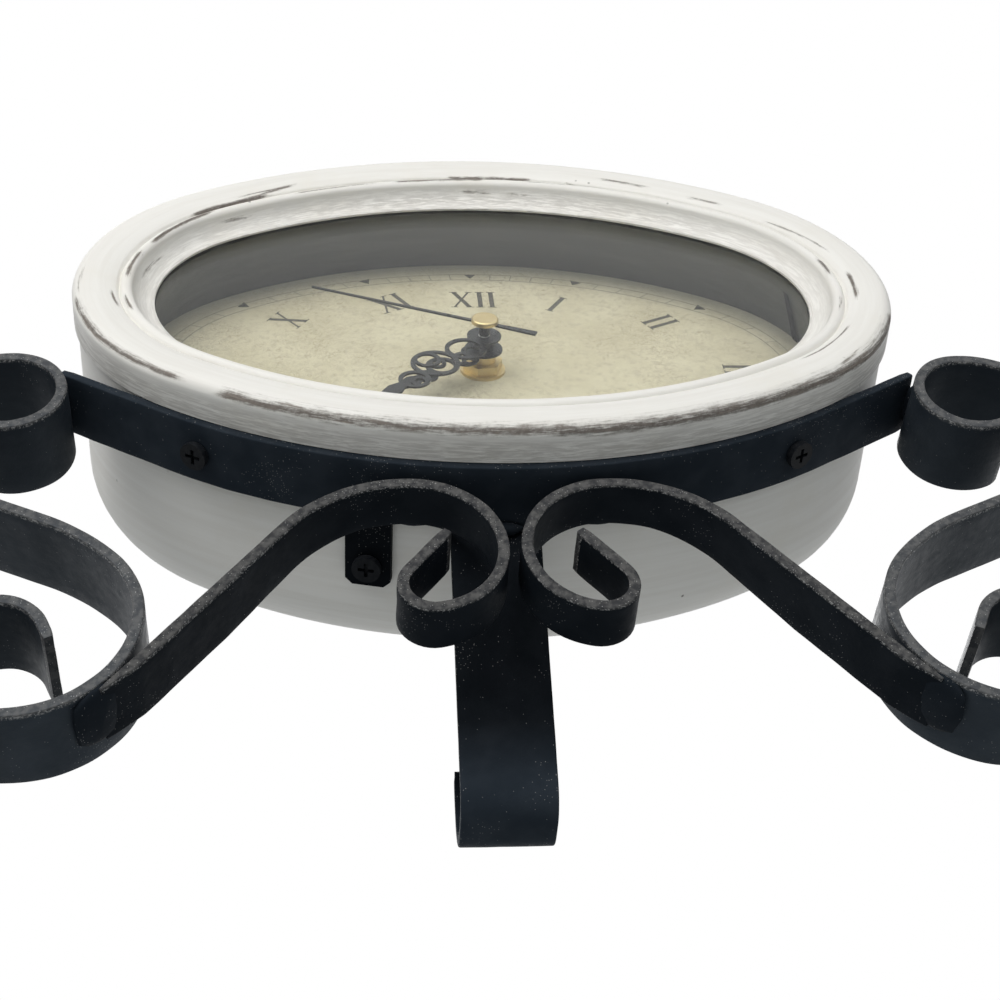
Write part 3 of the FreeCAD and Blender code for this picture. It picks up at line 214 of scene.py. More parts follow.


# Black iron: satin, lightly hammered, front edges rubbed grey, with painted glints on the arrises, dust in
# clusters, and a paler base tone where the mesh says lift, lighter towards the feet as painted light
def iron_material(name, gloss):
    made, tree, shader = fresh(name)
    spot = place_of(tree)
    rim = named(tree, "rim")
    dust = named(tree, "dust")
    lift = named(tree, "lift")
    hammer = grain(tree, spot, 95.0, 2.0, 0.5)
    ripple = grain(tree, spot, 420.0, 4.0, 0.6)
    tooth = grain(tree, spot, 2600.0, 2.0, 0.6)
    mottle = step(tree, hammer, 0.35, 0.7)
    tone = blend(tree, mottle, (0.0048, 0.0061, 0.0080, 1), (0.0072, 0.0088, 0.0112, 1))
    pale = blend(tree, mottle, (0.0225, 0.0300, 0.0400, 1), (0.0320, 0.0405, 0.0520, 1))
    # Paler base tone by the lift attribute: set per part, and raised towards the feet as painted light
    tone = blend(tree, lift, tone, pale)
    rubbed = plus(tree, rim, swing(tree, ripple, 0.5))
    rubbed = plus(tree, rubbed, swing(tree, tooth, 0.3))
    grey = step(tree, rubbed, 0.45, 0.95)
    edge = blend(tree, step(tree, ripple, 0.38, 0.62), (0.050, 0.051, 0.054, 1), (0.120, 0.119, 0.118, 1))
    tone = blend(tree, times(tree, grey, 0.9), tone, edge)
    dots = put(tree, "ShaderNodeTexVoronoi", {"Vector": spot, "Scale": 1650.0, "Randomness": 1.0})
    lot = put(tree, "ShaderNodeSeparateColor", {0: dots.outputs["Color"]}).outputs[0]
    cluster = plus(tree, grain(tree, spot, 46.0, 3.0), times(tree, dust, 0.10))
    bed = step(tree, cluster, 0.56, 0.72)
    share = plus(tree, times(tree, bed, 0.62), times(tree, rim, 0.30))
    share = plus(tree, share, 0.02)
    kept = step(tree, minus(tree, share, lot), -0.01, 0.01)
    mote = times(tree, step(tree, dots.outputs["Distance"], 0.25, 0.12), kept)
    shine = spread(tree, rim, 0.0, 1.0, 0.4, 0.8)
    tone = blend(tree, times(tree, mote, shine), tone, (0.50, 0.50, 0.495, 1))
    # Painted highlight: pale glints along the rubbed arrises
    arris = times(tree, step(tree, rim, 0.50, 0.66), step(tree, rim, 1.0, 0.93))
    flake = step(tree, grain(tree, spot, 1500.0, 4.0, 0.7), 0.50, 0.60)
    painted_glint = times(tree, arris, flake)
    tone = blend(tree, times(tree, painted_glint, 0.85), tone, (0.42, 0.42, 0.42, 1))
    rough = spread(tree, ripple, 0.3, 0.7, 0.42, 0.56)
    height = plus(tree, times(tree, hammer, 0.45), times(tree, ripple, 0.18))
    height = plus(tree, height, times(tree, tooth, 0.035))
    setup(tree, shader, Base_Color=tone, Roughness=rough, Normal=bump(tree, height, 0.5, 0.0010))
    shader.inputs["Specular IOR Level"].default_value = gloss
    shader.inputs["Specular Tint"].default_value = (0.72, 0.86, 1.0, 1.0)
    return made


# Aged cream print with fine crackle, and a rim darkened as painted shade
def dial_material():
    made, tree, shader = fresh("cream_dial")
    spot = place_of(tree)
    rim = named(tree, "rim")
    bent = put(tree, "ShaderNodeTexNoise", {"Vector": spot, "Scale": 90.0, "Detail": 3.0}).outputs["Color"]
    soft = put(tree, "ShaderNodeVectorMath", {0: bent, 3: 0.012}, operation="SCALE").outputs[0]
    warped = put(tree, "ShaderNodeVectorMath", {0: spot, 1: bent, 2: soft}, operation="MULTIPLY_ADD")
    cells = put(tree, "ShaderNodeTexVoronoi", {"Vector": warped.outputs[0], "Scale": 190.0},
                feature="DISTANCE_TO_EDGE")
    crack = step(tree, cells.outputs["Distance"], 0.09, 0.0)
    crack = times(tree, crack, step(tree, grain(tree, spot, 45.0, 3.0), 0.40, 0.58))
    cloud = grain(tree, spot, 38.0, 6.0, 0.62)
    fine = grain(tree, spot, 420.0, 4.0, 0.65)
    tone = blend(tree, step(tree, cloud, 0.35, 0.68), (0.512, 0.463, 0.316, 1), (0.588, 0.540, 0.387, 1))
    mottle = times(tree, step(tree, fine, 0.48, 0.66), 0.6)
    tone = blend(tree, mottle, tone, (0.428, 0.382, 0.268, 1))
    tone = blend(tree, times(tree, crack, 0.75), tone, (0.34, 0.285, 0.185, 1))
    # Painted shade: the dial darkens towards its edge under the bezel
    tone = blend(tree, times(tree, rim, 0.85), tone, (0.31, 0.295, 0.23, 1))
    setup(tree, shader, Base_Color=tone, Roughness=spread(tree, fine, 0.3, 0.7, 0.62, 0.78),
          Normal=bump(tree, fine, 0.10, 0.0003))
    return made


# Plain finish in two tones, with a fine grain in its roughness and height
def speckled(name, dark, light, scale, rough_low, rough_high, metal=0.0, depth=0.0002, strength=0.2,
             lengths=(1.0, 1.0, 1.0), specular=0.5):
    made, tree, shader = fresh(name)
    spot = stretch(tree, place_of(tree), lengths)
    cloud = grain(tree, spot, scale, 4.0, 0.6)
    fine = grain(tree, spot, scale * 7.0, 3.0, 0.6)
    both = plus(tree, times(tree, cloud, 0.7), times(tree, fine, 0.3))
    setup(tree, shader, Base_Color=blend(tree, step(tree, both, 0.36, 0.64), dark, light),
          Roughness=spread(tree, both, 0.3, 0.7, rough_low, rough_high),
          Normal=bump(tree, both, strength, depth))
    shader.inputs["Metallic"].default_value = metal
    shader.inputs["Specular IOR Level"].default_value = specular
    return made


# Clear glass, with a low index for weak reflections
def glass_material():
    made, tree, shader = fresh("clear_glass")
    setup(tree, shader, Base_Color=(0.97, 0.985, 0.98, 1), Roughness=0.0, IOR=1.2)
    shader.inputs["Transmission Weight"].default_value = 1.0
    return made


# Grey card strip
def liner_material():
    made, tree, shader = fresh("grey_card")
    spot = place_of(tree)
    cloud = grain(tree, stretch(tree, spot, (1.0, 6.0, 1.0)), 40.0, 4.0, 0.6)
    fine = grain(tree, spot, 420.0, 3.0, 0.6)
    tone = blend(tree, step(tree, cloud, 0.35, 0.68), (0.066, 0.071, 0.071, 1), (0.086, 0.091, 0.090, 1))
    setup(tree, shader, Base_Color=tone, Roughness=spread(tree, fine, 0.3, 0.7, 0.45, 0.62),
          Normal=bump(tree, fine, 0.15, 0.0002))
    shader.inputs["Specular IOR Level"].default_value = 0.3
    return made


# Dark battery jacket with a pale end
def cell_material():
    made, tree, shader = fresh("cell_jacket")
    spot = place_of(tree)
    across = put(tree, "ShaderNodeSeparateXYZ", {0: spot}).outputs[0]
    fine = grain(tree, spot, 700.0, 3.0, 0.6)
    band = step(tree, across, 0.0118, 0.0122)
    tone = blend(tree, step(tree, fine, 0.3, 0.7), (0.030, 0.034, 0.042, 1), (0.045, 0.050, 0.060, 1))
    tone = blend(tree, band, tone, (0.42, 0.43, 0.44, 1))
    setup(tree, shader, Base_Color=tone, Roughness=spread(tree, fine, 0.3, 0.7, 0.26, 0.36))
    return made


PAINT = paint_material()
IRON = iron_material("black_iron", 0.02)
IRON_SIDE = iron_material("black_iron_side", 0.22)
DIAL = dial_material()
GLASS = glass_material()
LINER = liner_material()
LAP = speckled("card_lap", (0.004, 0.005, 0.005, 1), (0.016, 0.018, 0.018, 1), 260.0, 0.6, 0.75, specular=0.0)
FAINT = speckled("dial_track", (0.20, 0.185, 0.140, 1), (0.32, 0.30, 0.23, 1), 700.0, 0.55, 0.7)
INK = speckled("dial_ink", (0.050, 0.047, 0.040, 1), (0.115, 0.106, 0.084, 1), 900.0, 0.55, 0.7)
HAND = speckled("hand_black", (0.010, 0.011, 0.0125, 1), (0.026, 0.0275, 0.0295, 1), 500.0, 0.24, 0.38,
                metal=0.3)
BRASS = speckled("brass", (0.62, 0.49, 0.25, 1), (0.68, 0.55, 0.30, 1), 300.0, 0.30, 0.38,
                 metal=1.0, strength=0.04)
BOARD = speckled("fibre_board", (0.13, 0.075, 0.040, 1), (0.25, 0.155, 0.085, 1), 140.0, 0.62, 0.82,
                 depth=0.0004, strength=0.4)
STEEL = speckled("bright_steel", (0.42, 0.42, 0.41, 1), (0.62, 0.61, 0.59, 1), 500.0, 0.24, 0.40, metal=1.0)
RUBBER = speckled("black_rubber", (0.015, 0.015, 0.015, 1), (0.030, 0.030, 0.030, 1), 600.0, 0.7, 0.85)
PLASTIC = speckled("black_plastic", (0.014, 0.014, 0.016, 1), (0.026, 0.026, 0.029, 1), 900.0, 0.38, 0.52)
NYLON = speckled("white_plastic", (0.70, 0.70, 0.67, 1), (0.80, 0.80, 0.77, 1), 400.0, 0.40, 0.52)
MAGNET = speckled("dark_steel", (0.05, 0.05, 0.055, 1), (0.11, 0.11, 0.115, 1), 700.0, 0.4, 0.6, metal=0.6)
COPPER = speckled("copper_wire", (0.34, 0.13, 0.05, 1), (0.62, 0.30, 0.13, 1), 300.0, 0.28, 0.42, metal=1.0,
                  lengths=(14.0, 1.0, 1.0))
MASK = speckled("green_board", (0.02, 0.12, 0.05, 1), (0.035, 0.19, 0.085, 1), 300.0, 0.3, 0.45)
CELL = cell_material()
SCREW = speckled("screw_black", (0.0075, 0.0090, 0.0115, 1), (0.0150, 0.0165, 0.0195, 1), 700.0, 0.34, 0.50,
                 specular=0.08)


# Mesh helpers
def mesh_object(name, points, faces, material, body=ROOT, fields=None, angle=38.0, matrix=None):
    data = bpy.data.meshes.new(name)
    place = matrix or Matrix.Identity(4)
    data.from_pydata([place @ (Vector(p) * MM) for p in points], [], faces)
    for key, values in (fields or {}).items():
        kind = "FLOAT_VECTOR" if isinstance(values[0], tuple) else "FLOAT"
        layer = data.attributes.new(key, kind, "POINT")
        for number, value in enumerate(values):
            if kind == "FLOAT":
                layer.data[number].value = value
            else:
                layer.data[number].vector = value
    for face in data.polygons:
        face.use_smooth = True
    data.set_sharp_from_angle(angle=math.radians(angle))
    data.materials.append(material)
    made = bpy.data.objects.new(name, data)
    bpy.context.scene.collection.objects.link(made)
    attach(made, body)
    return made


BEVEL_ANGLE = 32.0


def dress(node, material, bevel):
    thing = nodes[node]
    thing.data.materials.clear()
    thing.data.materials.append(material)
    if bevel:
        edge = thing.modifiers.new("edge", "BEVEL")
        edge.width = bevel * MM
        edge.segments = 2
        edge.limit_method = "ANGLE"
        edge.angle_limit = math.radians(BEVEL_ANGLE)
        edge.harden_normals = False


# Points on the arc through three points, without the first
def bow(first, middle, last, count):
    ax, ay = first
    bx, by = middle
    cx, cy = last
    a2 = ax ** 2 + ay ** 2
    b2 = bx ** 2 + by ** 2
    c2 = cx ** 2 + cy ** 2
    d = 2.0 * (ax * (by - cy) + bx * (cy - ay) + cx * (ay - by))
    ux = (a2 * (by - cy) + b2 * (cy - ay) + c2 * (ay - by)) / d
    uy = (a2 * (cx - bx) + b2 * (ax - cx) + c2 * (bx - ax)) / d
    radius = math.hypot(ax - ux, ay - uy)
    start = math.atan2(ay - uy, ax - ux)
    middle_turn = (math.atan2(by - uy, bx - ux) - start) % (2.0 * math.pi)
    end_turn = (math.atan2(cy - uy, cx - ux) - start) % (2.0 * math.pi)
    if middle_turn > end_turn:
        end_turn = end_turn - 2.0 * math.pi
    turns = [start + end_turn * n / count for n in range(1, count + 1)]
    return [(ux + radius * math.cos(turn), uy + radius * math.sin(turn)) for turn in turns]


# Stations round the four-arc oval: centre, radius and direction of each
def oval_stations(count):
    arcs = [
        (END_X, 0.0, END_RADIUS, JOIN - math.pi / 2.0, math.pi / 2.0 - JOIN),
        (0.0, -FLAT_Z, FLAT_RADIUS, math.pi / 2.0 - JOIN, math.pi / 2.0 + JOIN),
        (-END_X, 0.0, END_RADIUS, math.pi / 2.0 + JOIN, 1.5 * math.pi - JOIN),
        (0.0, FLAT_Z, FLAT_RADIUS, 1.5 * math.pi - JOIN, 1.5 * math.pi + JOIN),
    ]
    total = sum(radius * (end - start) for _, _, radius, start, end in arcs)
    stations = []
    for cx, cz, radius, start, end in arcs:
        share = max(4, round(count * radius * (end - start) / total))
        for n in range(share):
            turn = start + (end - start) * n / share
            stations.append((cx, cz, radius, math.cos(turn), math.sin(turn)))
    return stations


# Distance from the oval's centre to its outline, moved out by the offset
def oval_reach(bearing, offset):
    s = math.sin(bearing)
    c = math.cos(bearing)
    reach = FLAT_RADIUS + offset
    t = -abs(c) * FLAT_Z + math.sqrt(reach ** 2 - (s * FLAT_Z) ** 2)
    if abs(math.atan2(t * abs(s), t * abs(c) + FLAT_Z)) <= JOIN:
        return t
    return abs(s) * END_X + math.sqrt((END_RADIUS + offset) ** 2 - (c * END_X) ** 2)


BRUSH_TURN = 2.6


# Ring swept round the oval, with brush direction, wear and painted shade kept on its points
def oval_ring(name, profile, material, wear_of, shade_of, count):
    stations = oval_stations(count)
    points = []
    ring = []
    wear = []
    painted_shade = []
    run = [0.0]
    for number in range(1, len(profile)):
        run.append(run[-1] + math.dist(profile[number], profile[number - 1]))
    for cx, cz, radius, c, s in stations:
        for number, (offset, depth) in enumerate(profile):
            x = cx + (radius + offset) * c
            z = cz + (radius + offset) * s
            points.append((x, depth, z))
            bearing = math.atan2(x, z)
            ring.append((math.sin(bearing) * BRUSH_TURN, math.cos(bearing) * BRUSH_TURN, run[number] * MM))
            wear.append(wear_of(offset, depth, bearing))
            painted_shade.append(shade_of(offset, depth, bearing))
    faces = []
    wide = len(profile)
    for i in range(len(stations)):
        j = (i + 1) % len(stations)
        for k in range(wide):
            m = (k + 1) % wide
            faces.append((i * wide + k, j * wide + k, j * wide + m, i * wide + m))
    return mesh_object(name, points, faces, material, matrix=CLOCK,
                       fields={"ring": ring, "wear": wear, "painted_shade": painted_shade})


def bell(value, centre, width):
    return math.exp(-((value - centre) / width) ** 2)


def swirl(bearing, scale, seed, lift=0.0):
    return noise.noise(Vector((math.sin(bearing) * scale, math.cos(bearing) * scale, seed))) + lift


# Bezel outline: offset from the oval, and depth along the clock's axis
SIGHT = -24.0
bezel_profile = [(0.0, DRUM_FRONT), (0.0, 6.0), (0.0, 3.4), (0.0, 2.2), (0.0, 1.4), (0.0, 0.6)]
bezel_profile += bow((0.0, 0.6), (-1.2, -1.48), (-4.0, -2.4), 12)
bezel_profile += bow((-4.0, -2.4), (-8.5, -2.15), (-13.0, -0.9), 18)
bezel_profile += [(-13.3, -0.55), (-13.6, 0.2), (-13.85, 0.4), (-14.1, 0.2)]
bezel_profile += bow((-14.1, 0.2), (-15.9, -1.25), (-17.9, 0.75), 12)
bezel_profile += bow((-17.9, 0.75), (-20.04, 4.29), (-23.6, 5.6), 12)
bezel_profile += [(SIGHT, 5.85), (SIGHT, 6.5), (-20.0, 6.5), (-20.0, DRUM_FRONT)]

# Sanded streaks on the face: first and last bearing, offset at each, width and strength
FACE_STREAKS = [
    (-79.0, -60.0, -16.8, -15.9, 0.9, 1.00),
    (-66.0, -47.0, -13.4, -12.9, 0.9, 0.98),
    (-52.0, -40.0, -12.8, -10.0, 0.8, 0.86),
    (-56.0, -43.0, -11.5, -10.8, 0.5, 0.78),
    (-92.0, -79.0, -16.2, -16.2, 0.9, 0.92),
    (-88.0, -75.0, -19.0, -19.3, 0.5, 0.66),
    (-102.0, -94.0, -12.4, -11.3, 0.7, 0.84),
    (-103.0, -95.0, -15.2, -15.2, 0.7, 0.84),
    (-98.0, -86.0, -1.9, -3.0, 0.6, 0.62),
    (-63.0, -54.0, -18.4, -18.6, 0.35, 0.76),
    (-46.0, -24.0, -16.2, -15.9, 0.5, 0.80),
    (-22.0, 5.0, -16.0, -15.8, 0.9, 0.90),
    (-8.0, 17.0, -13.2, -13.2, 0.7, 0.84),
    (12.0, 27.0, -15.9, -15.9, 0.6, 0.66),
    (-5.0, 7.0, -18.3, -18.6, 0.3, 0.82),
    (8.0, 17.0, -18.5, -18.6, 0.3, 0.62),
    (21.0, 38.0, -13.0, -15.6, 0.8, 0.66),
    (29.0, 43.0, -9.2, -10.0, 0.8, 0.78),
    (48.0, 58.0, -10.8, -10.8, 0.8, 0.72),
    (64.0, 82.0, -12.4, -10.2, 0.55, 0.76),
    (80.0, 90.0, -15.9, -16.2, 0.9, 0.90),
    (86.0, 98.0, -10.8, -10.8, 0.9, 0.94),
    (94.0, 102.0, -15.6, -15.8, 0.6, 0.70),
    (104.0, 122.0, -10.8, -11.5, 0.5, 0.86),
    (112.0, 121.0, -3.0, -1.6, 0.6, 0.74),
]
# Sanded streaks on the outer edge: first and last bearing, depth, width and strength
EDGE_STREAKS = [
    (-127.0, -95.0, -1.2, 0.9, 0.84),
    (-194.0, -130.0, -0.7, 1.7, 0.84),
    (-262.0, -186.0, -0.2, 2.0, 0.88),
]


# Share of a streak at a bearing, fading out over its ends
def window(value, first, last):
    soft = min(3.0, 0.3 * (last - first))
    rise = min(1.0, max(0.0, (value - first) / soft))
    fall = min(1.0, max(0.0, (last - value) / soft))
    return rise * fall


# Offsets of the bezel's mouldings
ARRIS = -13.2
QUIRK = -13.8
BEAD = -15.9
COVE = -20.5


def bezel_wear(offset, depth, bearing):
    degrees = math.degrees(bearing)
    below = degrees if degrees < 0.0 else degrees - 360.0
    worn = 0.10 * bell(offset, ARRIS, 0.9) + 0.10 * bell(offset, BEAD, 0.9)
    for first, last, start, end, width, strength in FACE_STREAKS:
        if first < degrees < last and depth < 4.5:
            middle = start + (end - start) * (degrees - first) / (last - first)
            worn = max(worn, strength * window(degrees, first, last) * bell(offset, middle, width))
    for first, last, middle, width, strength in EDGE_STREAKS:
        if first < below < last and offset > -3.5:
            worn = max(worn, strength * window(below, first, last) * bell(depth, middle, width))
    return worn


# Painted shade on the bezel: in the cove and the quirk towards the top, on the outer side face, and at the
# edge of the sight opening
def bezel_painted_shade(offset, depth, bearing):
    far = max(0.0, 0.4 + 0.6 * math.cos(bearing))
    cove = 0.55 * bell(offset, COVE, 2.6) * (depth > 1.0) * far
    side = 0.5 * (offset > -0.5) * min(1.0, max(0.0, (depth - 1.0) / 3.0))
    sight = 0.4 * bell(offset, SIGHT, 1.2) * bell(depth, 6.0, 1.2)
    return cove + side + sight + 0.25 * far * bell(offset, QUIRK, 0.7)


bezel = oval_ring("bezel_ring", bezel_profile, PAINT, bezel_wear, bezel_painted_shade, 440)
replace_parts(bezel, "bezel")

# Case drum, with the same inner steps as the solid
PANEL_EDGE = -34.0
PANEL_SEAT = -40.0
PANEL_THICKNESS = 4.0
LIP_CHAMFER = 0.4
LEDGE_EDGE = -18.0
LEDGE_FRONT = 37.0
LEDGE_BACK = 43.0
DRUM_STEPS = 16
slant = math.sqrt(0.5)
drum_outer = -DRUM_INSET
drum_inner = drum_outer - CASE_WALL
round_start = CASE_DEPTH - BACK_ROUND
round_edge = drum_outer - BACK_ROUND
inner_round = BACK_ROUND - CASE_WALL
panel_front = CASE_DEPTH - PANEL_THICKNESS
lip_front = CASE_DEPTH - CASE_WALL
chamfer_depth = CASE_DEPTH - LIP_CHAMFER
outer_middle = (round_edge + BACK_ROUND * slant, round_start + BACK_ROUND * slant)
inner_middle = (round_edge + inner_round * slant, round_start + inner_round * slant)
drum_profile = [(drum_outer, DRUM_FRONT)]
for number in range(1, DRUM_STEPS + 1):
    drum_profile.append((drum_outer, DRUM_FRONT + (round_start - DRUM_FRONT) * number / DRUM_STEPS))
drum_profile += bow((drum_outer, round_start), outer_middle, (round_edge, CASE_DEPTH), 14)
drum_profile += [
    (PANEL_EDGE + LIP_CHAMFER, CASE_DEPTH), (PANEL_EDGE, chamfer_depth), (PANEL_EDGE, panel_front),
    (PANEL_SEAT, panel_front), (PANEL_SEAT, lip_front), (round_edge, lip_front),
]
drum_profile += bow((round_edge, lip_front), inner_middle, (drum_inner, round_start), 8)
drum_profile += [
    (drum_inner, LEDGE_BACK), (LEDGE_EDGE, LEDGE_BACK), (LEDGE_EDGE, LEDGE_FRONT),
    (drum_inner, LEDGE_FRONT), (drum_inner, DRUM_FRONT),
]
outside = drum_profile.index((PANEL_EDGE, chamfer_depth))


def drum_wear(offset, depth, bearing):
    if drum_profile.index((offset, depth)) > outside:
        return 0.9
    back = bell(offset, -33.8, 0.9) * bell(depth, CASE_DEPTH, 0.8) * (0.5 + 0.4 * swirl(bearing, 4.0, 3.0))
    turn = bell(depth, CASE_DEPTH - 8.0, 5.0) * max(0.0, 0.5 * swirl(bearing, 3.0, 8.0, -0.1))
    return max(0.0, back, turn)


# Painted shade on the drum, in strips just behind the cradle band and just behind the bezel
def drum_painted_shade(offset, depth, bearing):
    behind_band = bell(depth, 29.0, 2.0) * (offset > -2.0)
    behind_bezel = bell(depth, 9.5, 1.5)
    return 0.35 * behind_band + 0.4 * behind_bezel


drum = oval_ring("drum_shell", drum_profile, PAINT, drum_wear, drum_painted_shade, 300)
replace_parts(drum, "case_drum")


DIAL_HOLE = 4.05
DIAL_EDGE = -8.2
DIAL_THICKNESS = 0.8
RIM_START = -30.0
RIM_END = -17.0


# Dial face with rings of points, so that its rim can carry painted shade
def dial_face():
    bearings = 180
    rings = 26
    points = []
    rim = []
    for n in range(rings + 1):
        t = n / rings
        for k in range(bearings):
            bearing = 2.0 * math.pi * k / bearings
            reach = DIAL_HOLE + (oval_reach(bearing, DIAL_EDGE) - DIAL_HOLE) * t
            points.append((reach * math.sin(bearing), DIAL_DEPTH, reach * math.cos(bearing)))
            inner = oval_reach(bearing, RIM_START)
            outer = oval_reach(bearing, RIM_END)
            rim.append(min(1.0, max(0.0, (reach - inner) / (outer - inner))) ** 1.6)
    faces = []
    for n in range(rings):
        for k in range(bearings):
            m = (k + 1) % bearings
            faces.append((n * bearings + k, n * bearings + m, (n + 1) * bearings + m, (n + 1) * bearings + k))
    base = len(points)
    for k in range(bearings):
        bearing = 2.0 * math.pi * k / bearings
        for reach in (DIAL_HOLE, oval_reach(bearing, DIAL_EDGE)):
            points.append((reach * math.sin(bearing), DIAL_DEPTH + DIAL_THICKNESS, reach * math.cos(bearing)))
            rim.append(0.0)
    for k in range(bearings):
        m = (k + 1) % bearings
        outer = rings * bearings
        faces.append((outer + k, outer + m, base + 2 * m + 1, base + 2 * k + 1))
        faces.append((m, k, base + 2 * k, base + 2 * m))
        faces.append((base + 2 * k, base + 2 * k + 1, base + 2 * m + 1, base + 2 * m))
    return mesh_object("dial_face", points, faces, DIAL, matrix=CLOCK, fields={"rim": rim})


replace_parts(dial_face(), "dial_plate")


# Printed marks, a hair in front of the dial
PRINT_DROP = 1.2
PRINT_LIFT = 0.04
PRINT_STRETCH = 1.045
SIDE_STRETCH = 0.985


def printed(name, polygons, ink):
    points = []
    faces = []
    for polygon in polygons:
        first = len(points)
        points += [(x, DIAL_DEPTH - PRINT_LIFT, z - PRINT_DROP) for x, z in polygon]
        faces.append(tuple(range(first, len(points))))
    mesh_object(name, points, faces, ink, matrix=CLOCK)


def oval_line(offset, width):
    polygons = []
    count = 240
    for k in range(count):
        quad = []
        for bearing, shift in ((k, -0.5), (k + 1, -0.5), (k + 1, 0.5), (k, 0.5)):
            turn = 2.0 * math.pi * bearing / count
            reach = oval_reach(turn, offset + shift * width)
            quad.append((reach * math.sin(turn), reach * math.cos(turn)))
        polygons.append(quad)
    return polygons


TRACK_OUTER = -21.6
TRACK_INNER = -25.6
TRACK_LINE = 0.4
TICK_HALF = 0.17
ARROW_HALF = 2.1
ARROW_SHARE = 0.78
marks = oval_line(TRACK_OUTER, TRACK_LINE) + oval_line(TRACK_INNER, TRACK_LINE)
arrows = []
for minute in range(60):
    turn = math.radians(6.0 * minute)
    s = math.sin(turn)
    c = math.cos(turn)
    inner = oval_reach(turn, TRACK_INNER)
    outer = oval_reach(turn, TRACK_OUTER)
    if minute % 5:
        marks.append([
            (inner * s - TICK_HALF * c, inner * c + TICK_HALF * s),
            (inner * s + TICK_HALF * c, inner * c - TICK_HALF * s),
            (outer * s + TICK_HALF * c, outer * c - TICK_HALF * s),
            (outer * s - TICK_HALF * c, outer * c + TICK_HALF * s),
        ])
    else:
        tip = outer - ARROW_SHARE * (outer - inner)
        arrows.append([
            (outer * s - ARROW_HALF * c, outer * c + ARROW_HALF * s),
            (tip * s, tip * c),
            (outer * s + ARROW_HALF * c, outer * c - ARROW_HALF * s),
        ])
printed("minute_track", marks, FAINT)
printed("hour_arrows", arrows, INK)

NUMERAL_HEIGHT = 11.2
NUMERAL_OFFSET = -40.4
GLYPH_WIDTH = {"I": 3.9, "V": 8.4, "X": 8.6}


# Outlines of one letter, with thick and thin legs and serifs
def glyph(letter):
    h = NUMERAL_HEIGHT
    bar = 0.42
    stem = 1.6
    thick = 1.7
    thin = 0.8
    square = 1.45
    broad = 1.4
    slight = 1.2
    v_point = 0.2
    v_half = 2.7
    x_half = 2.6

    def leg(x0, x1, w):
        return [(x0 - w / 2, 0.0), (x0 + w / 2, 0.0), (x1 + w / 2, h), (x1 - w / 2, h)]

    def serif(x, z, half):
        return [(x - half, z), (x + half, z), (x + half, z + bar), (x - half, z + bar)]

    if letter == "I":
        return [leg(0, 0, stem), serif(0, 0, square), serif(0, h - bar, square)]
    if letter == "V":
        return [leg(v_point, -v_half, thick), leg(v_point, v_half, thin),
                serif(-v_half, h - bar, broad), serif(v_half, h - bar, slight)]
    return [leg(x_half, -x_half, thick), leg(-x_half, x_half, thin),
            serif(-x_half, h - bar, broad), serif(x_half, h - bar, slight),
            serif(-x_half, 0, slight), serif(x_half, 0, broad)]


numerals = []
for hour, word in enumerate(["XII", "I", "II", "III", "IV", "V", "VI", "VII", "VIII", "IX", "X", "XI"]):
    turn = math.radians(30.0 * hour)
    reach = oval_reach(turn, NUMERAL_OFFSET)
    wide = sum(GLYPH_WIDTH[letter] for letter in word)
    cursor = -wide / 2.0
    for letter in word:
        middle = cursor + GLYPH_WIDTH[letter] / 2.0
        cursor += GLYPH_WIDTH[letter]
        for polygon in glyph(letter):
            placed = []
            for x, z in polygon:
                u = x + middle
                w = z - NUMERAL_HEIGHT / 2.0 + reach
                far = w * math.sin(turn) * (PRINT_STRETCH if hour % 6 != 3 else SIDE_STRETCH)
                placed.append((far + u * math.cos(turn), w * math.cos(turn) - u * math.sin(turn)))
            numerals.append(placed)
printed("numerals", numerals, INK)


# Straps: paths of lines and arcs with a rounded section
def walk(start, heading, moves, pace=1.3):
    x, z = start
    turn = math.radians(heading)
    trail = [(x, z, turn)]
    for move in moves:
        if move[0] == "line":
            count = max(1, round(move[1] / pace))
            for n in range(1, count + 1):
                d = move[1] * n / count
                trail.append((x + d * math.cos(turn), z + d * math.sin(turn), turn))
        else:
            radius = move[1]
            sweep = math.radians(move[2])
            bend = 1.0 if sweep > 0 else -1.0
            count = max(3, round(abs(sweep) * radius / pace))
            cx = x - bend * radius * math.sin(turn)
            cz = z + bend * radius * math.cos(turn)
            for n in range(1, count + 1):
                now = turn + sweep * n / count
                trail.append((cx + bend * radius * math.sin(now), cz - bend * radius * math.cos(now), now))
        x, z, turn = trail[-1]
    return trail


# One trail from two that leave the same point in opposite directions
def joined(back_way, out_way):
    flipped = [(x, z, turn + math.pi) for x, z, turn in reversed(back_way)]
    return flipped[:-1] + out_way


# Outline across a strap: rounded corners, with points along the faces for the hammering
def section(thickness, width, corner=0.5, across=7):
    t = thickness / 2.0
    shape = []

    def turn_corner(n, w, first):
        for step_number in range(4):
            angle = math.radians(first + 30.0 * step_number)
            shape.append((n + corner * math.cos(angle), w + corner * math.sin(angle)))

    turn_corner(t - corner, width - corner, 0.0)
    for n in (0.5, 0.0, -0.5):
        shape.append((n * (t - corner) * 1.2, width))
    turn_corner(-t + corner, width - corner, 90.0)
    for n in range(1, across):
        shape.append((-t, width - corner - (width - 2 * corner) * n / across))
    turn_corner(-t + corner, corner, 180.0)
    for n in (-0.5, 0.0, 0.5):
        shape.append((n * (t - corner) * 1.2, 0.0))
    turn_corner(t - corner, corner, 270.0)
    for n in range(1, across):
        shape.append((t, corner + (width - 2 * corner) * n / across))
    return shape


